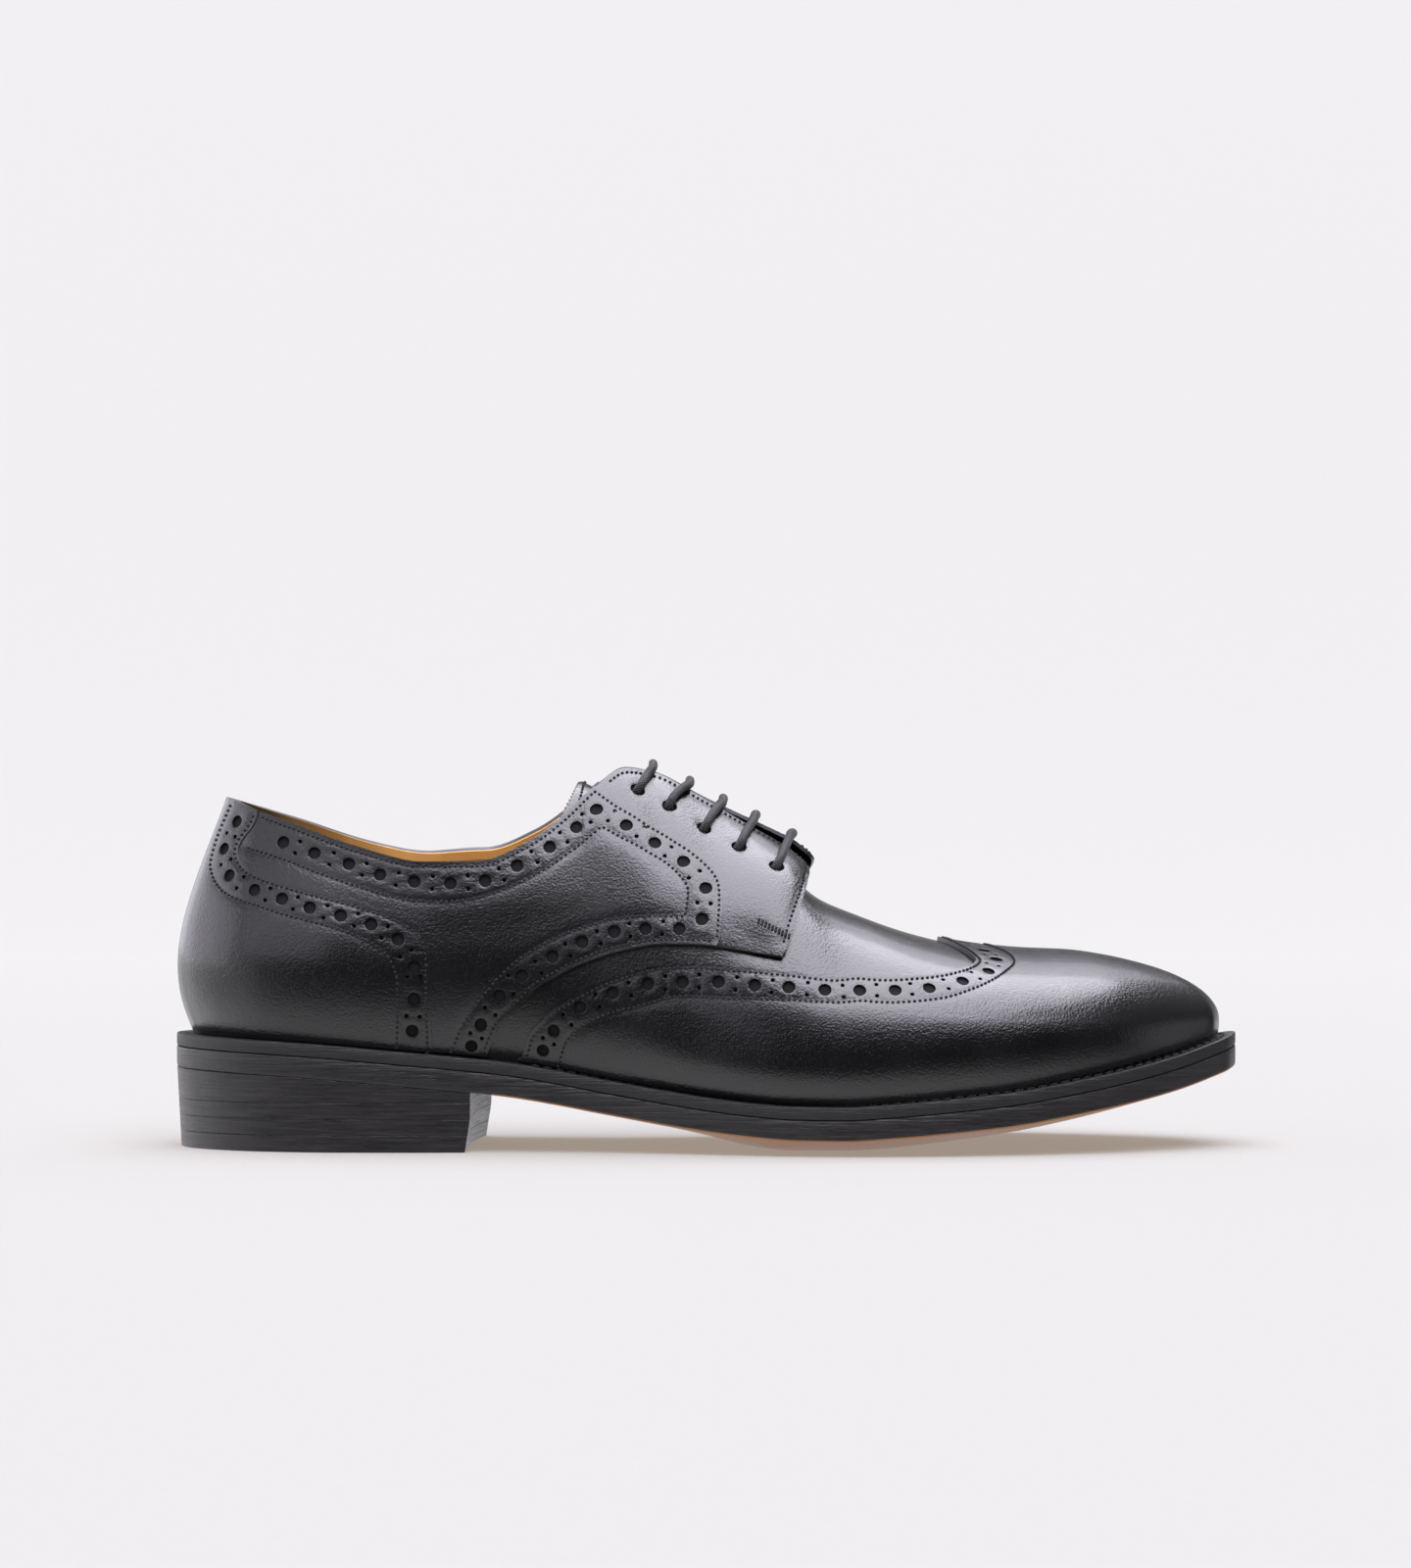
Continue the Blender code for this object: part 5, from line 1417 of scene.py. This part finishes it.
def sky_stops(stops):
    """Brightness by how far a direction rises, from (z, value) stops."""
    made = node(tree, "ShaderNodeValToRGB", (("Fac", rise, "Result"),))
    while len(made.color_ramp.elements) < len(stops):
        made.color_ramp.elements.new(0.5)
    for stop, (z, value) in zip(made.color_ramp.elements, stops):
        stop.position = 0.5 + 0.5 * z
        stop.color = grey(value)
    return made, "Color"


def sky_side(axis, low, high, top=1.0, bottom=0.0):
    """Factor that goes from bottom to top as a direction's part along an axis goes from low to high."""
    made = node(tree, "ShaderNodeMapRange", (("Value", parts, axis),), interpolation_type="SMOOTHSTEP",
                From_Min=low, From_Max=high, To_Min=bottom, To_Max=top)
    return made, "Result"


def combine(operation, one, two):
    """Sum or product of two outputs."""
    return node(tree, "ShaderNodeMath", ((0, *one), (1, *two)), operation=operation), "Value"


all_round = combine("MULTIPLY", sky_stops(SKY_ALL_ROUND), sky_side("X", 0.45, 0.8, 0.8, 1.0))
left = combine("MULTIPLY", sky_stops(SKY_LEFT), sky_side("X", -0.55, -0.90))
left = combine("MULTIPLY", left, sky_side("Y", -0.1, 0.4, 2.2, 1.0))
behind = combine("MULTIPLY", sky_stops(SKY_BEHIND), sky_side("Y", 0.6, 0.9))
right_end = sky_side("X", 0.92, 0.99, SKY_RIGHT_END)
total = combine("ADD", combine("ADD", all_round, left), combine("ADD", behind, right_end))
glow = node(tree, "ShaderNodeBackground", (("Strength", *total),), Color=SKY_TINT)
node(tree, "ShaderNodeOutputWorld", (("Surface", glow, "Background"),))
print("world nodes:", len(tree.nodes))

# %% [markdown]
# ## Paper sweep and camera
# The shoe stands on a pale paper sweep that runs up into the backdrop. Paper that is only lit would
# darken away from the lamps, so each point of the sweep also glows by as much as it falls short. What
# the shoe shades stays dark, as on real paper. The camera looks straight along the shoe's side.

# %% Sweep
PAPER = colour("#f2eff2")[:3]
PAPER_LIT = (0.176, 0.188, 0.188)
SKY_ON_FLOOR, SKY_ON_BACKDROP = 1.0, 1.45


def paper_material(name):
    """Paper that is part lit and part glowing, with the faintest fibre."""
    made, tree = new_material(name)
    place = node(tree, "ShaderNodeTexCoord")
    fibre = node(tree, "ShaderNodeTexNoise", (("Vector", place, "Object"),), Scale=400.0, Detail=2.0)
    shaded = tuple(0.97 * c for c in PAPER_LIT) + (1.0,)
    tone = ramp(tree, fibre, "Fac", (0.3, shaded), (0.7, PAPER_LIT + (1.0,)))
    lit = node(tree, "ShaderNodeBsdfDiffuse", (("Color", tone, "Color"),))
    share = node(tree, "ShaderNodeAttribute", attribute_name="glow")
    own = node(tree, "ShaderNodeEmission", (("Color", share, "Color"),), Strength=1.0)
    both_parts = node(tree, "ShaderNodeAddShader", ((0, lit, "BSDF"), (1, own, "Emission")))
    node(tree, "ShaderNodeOutputMaterial", (("Surface", both_parts, "Shader"),))
    return made


SWEEP_FRONT, SWEEP_BACK, SWEEP_HALF, SWEEP_BEND, SWEEP_TOP = -1.6, 2.2, 2.4, 0.7, 2.4
SWEEP_FAR = np.geomspace(SWEEP_HALF, 12.0, 9)[1:]
turn = np.linspace(0.0, math.pi / 2, 17)
bend_y = SWEEP_BACK - SWEEP_BEND + SWEEP_BEND * np.sin(turn)
bend = np.stack((bend_y, SWEEP_BEND * (1 - np.cos(turn))), axis=-1)
floor_y = np.concatenate((-SWEEP_FAR[::-1], np.linspace(SWEEP_FRONT, bend[0, 0], 41)[:-1]))
floor_line = np.stack((floor_y, 0 * floor_y), axis=-1)
section = np.vstack((floor_line, bend, (SWEEP_BACK, 1.5), (SWEEP_BACK, SWEEP_TOP)))
across = np.concatenate((-SWEEP_FAR[::-1], np.linspace(-SWEEP_HALF, SWEEP_HALF, 41), SWEEP_FAR))
block = np.array([[(x, y, z) for x in across] for y, z in section])
bm = grid_mesh(block)
mesh = bpy.data.meshes.new("studio_sweep")
bm.to_mesh(mesh)
bm.free()
mesh.shade_smooth()
mesh.materials.append(paper_material("Studio paper"))
places = np.array([vert.co[:] for vert in mesh.vertices])
facing = np.array([vert.normal[:] for vert in mesh.vertices])
reach = lit_points[None, :, :3] - places[:, None]
away = np.linalg.norm(reach, axis=2)
from_paper = np.maximum((reach * facing[:, None]).sum(2) / away, 0.0)
from_lamp = np.maximum(-(reach * lit_points[None, :, 3:6]).sum(2) / away, 0.0)
light = (lit_points[None, :, 6] * from_paper * from_lamp / away ** 2).sum(1)
sky = SKY_ON_BACKDROP + (SKY_ON_FLOOR - SKY_ON_BACKDROP) * facing[:, 2:]
light = (light[:, None] * LAMP_COLOUR + sky) / math.pi
own = np.maximum(np.array(PAPER) - np.array(PAPER_LIT) * light, 0.0)
layer = mesh.color_attributes.new("glow", "FLOAT_COLOR", "POINT")
layer.data.foreach_set("color", np.hstack((own, np.ones((len(own), 1)))).reshape(-1))
sweep = bpy.data.objects.new("studio_sweep", mesh)
sweep.visible_glossy = False
bpy.context.scene.collection.objects.link(sweep)
print("least glow of the paper:", own.min(axis=0).round(3).tolist())

# %% Camera
camera_data = bpy.data.cameras.new("camera")
camera_data.sensor_width = 36.0
camera_data.lens = 113.5
camera = bpy.data.objects.new("camera", camera_data)
camera.location = (-0.0004, -1.4, 0.102)
camera.rotation_euler = (math.pi / 2, 0.0, 0.0)
bpy.context.scene.collection.objects.link(camera)
bpy.context.scene.camera = camera
bpy.context.scene.view_settings.view_transform = "Standard"
print("camera at:", [round(value, 4) for value in camera.location])
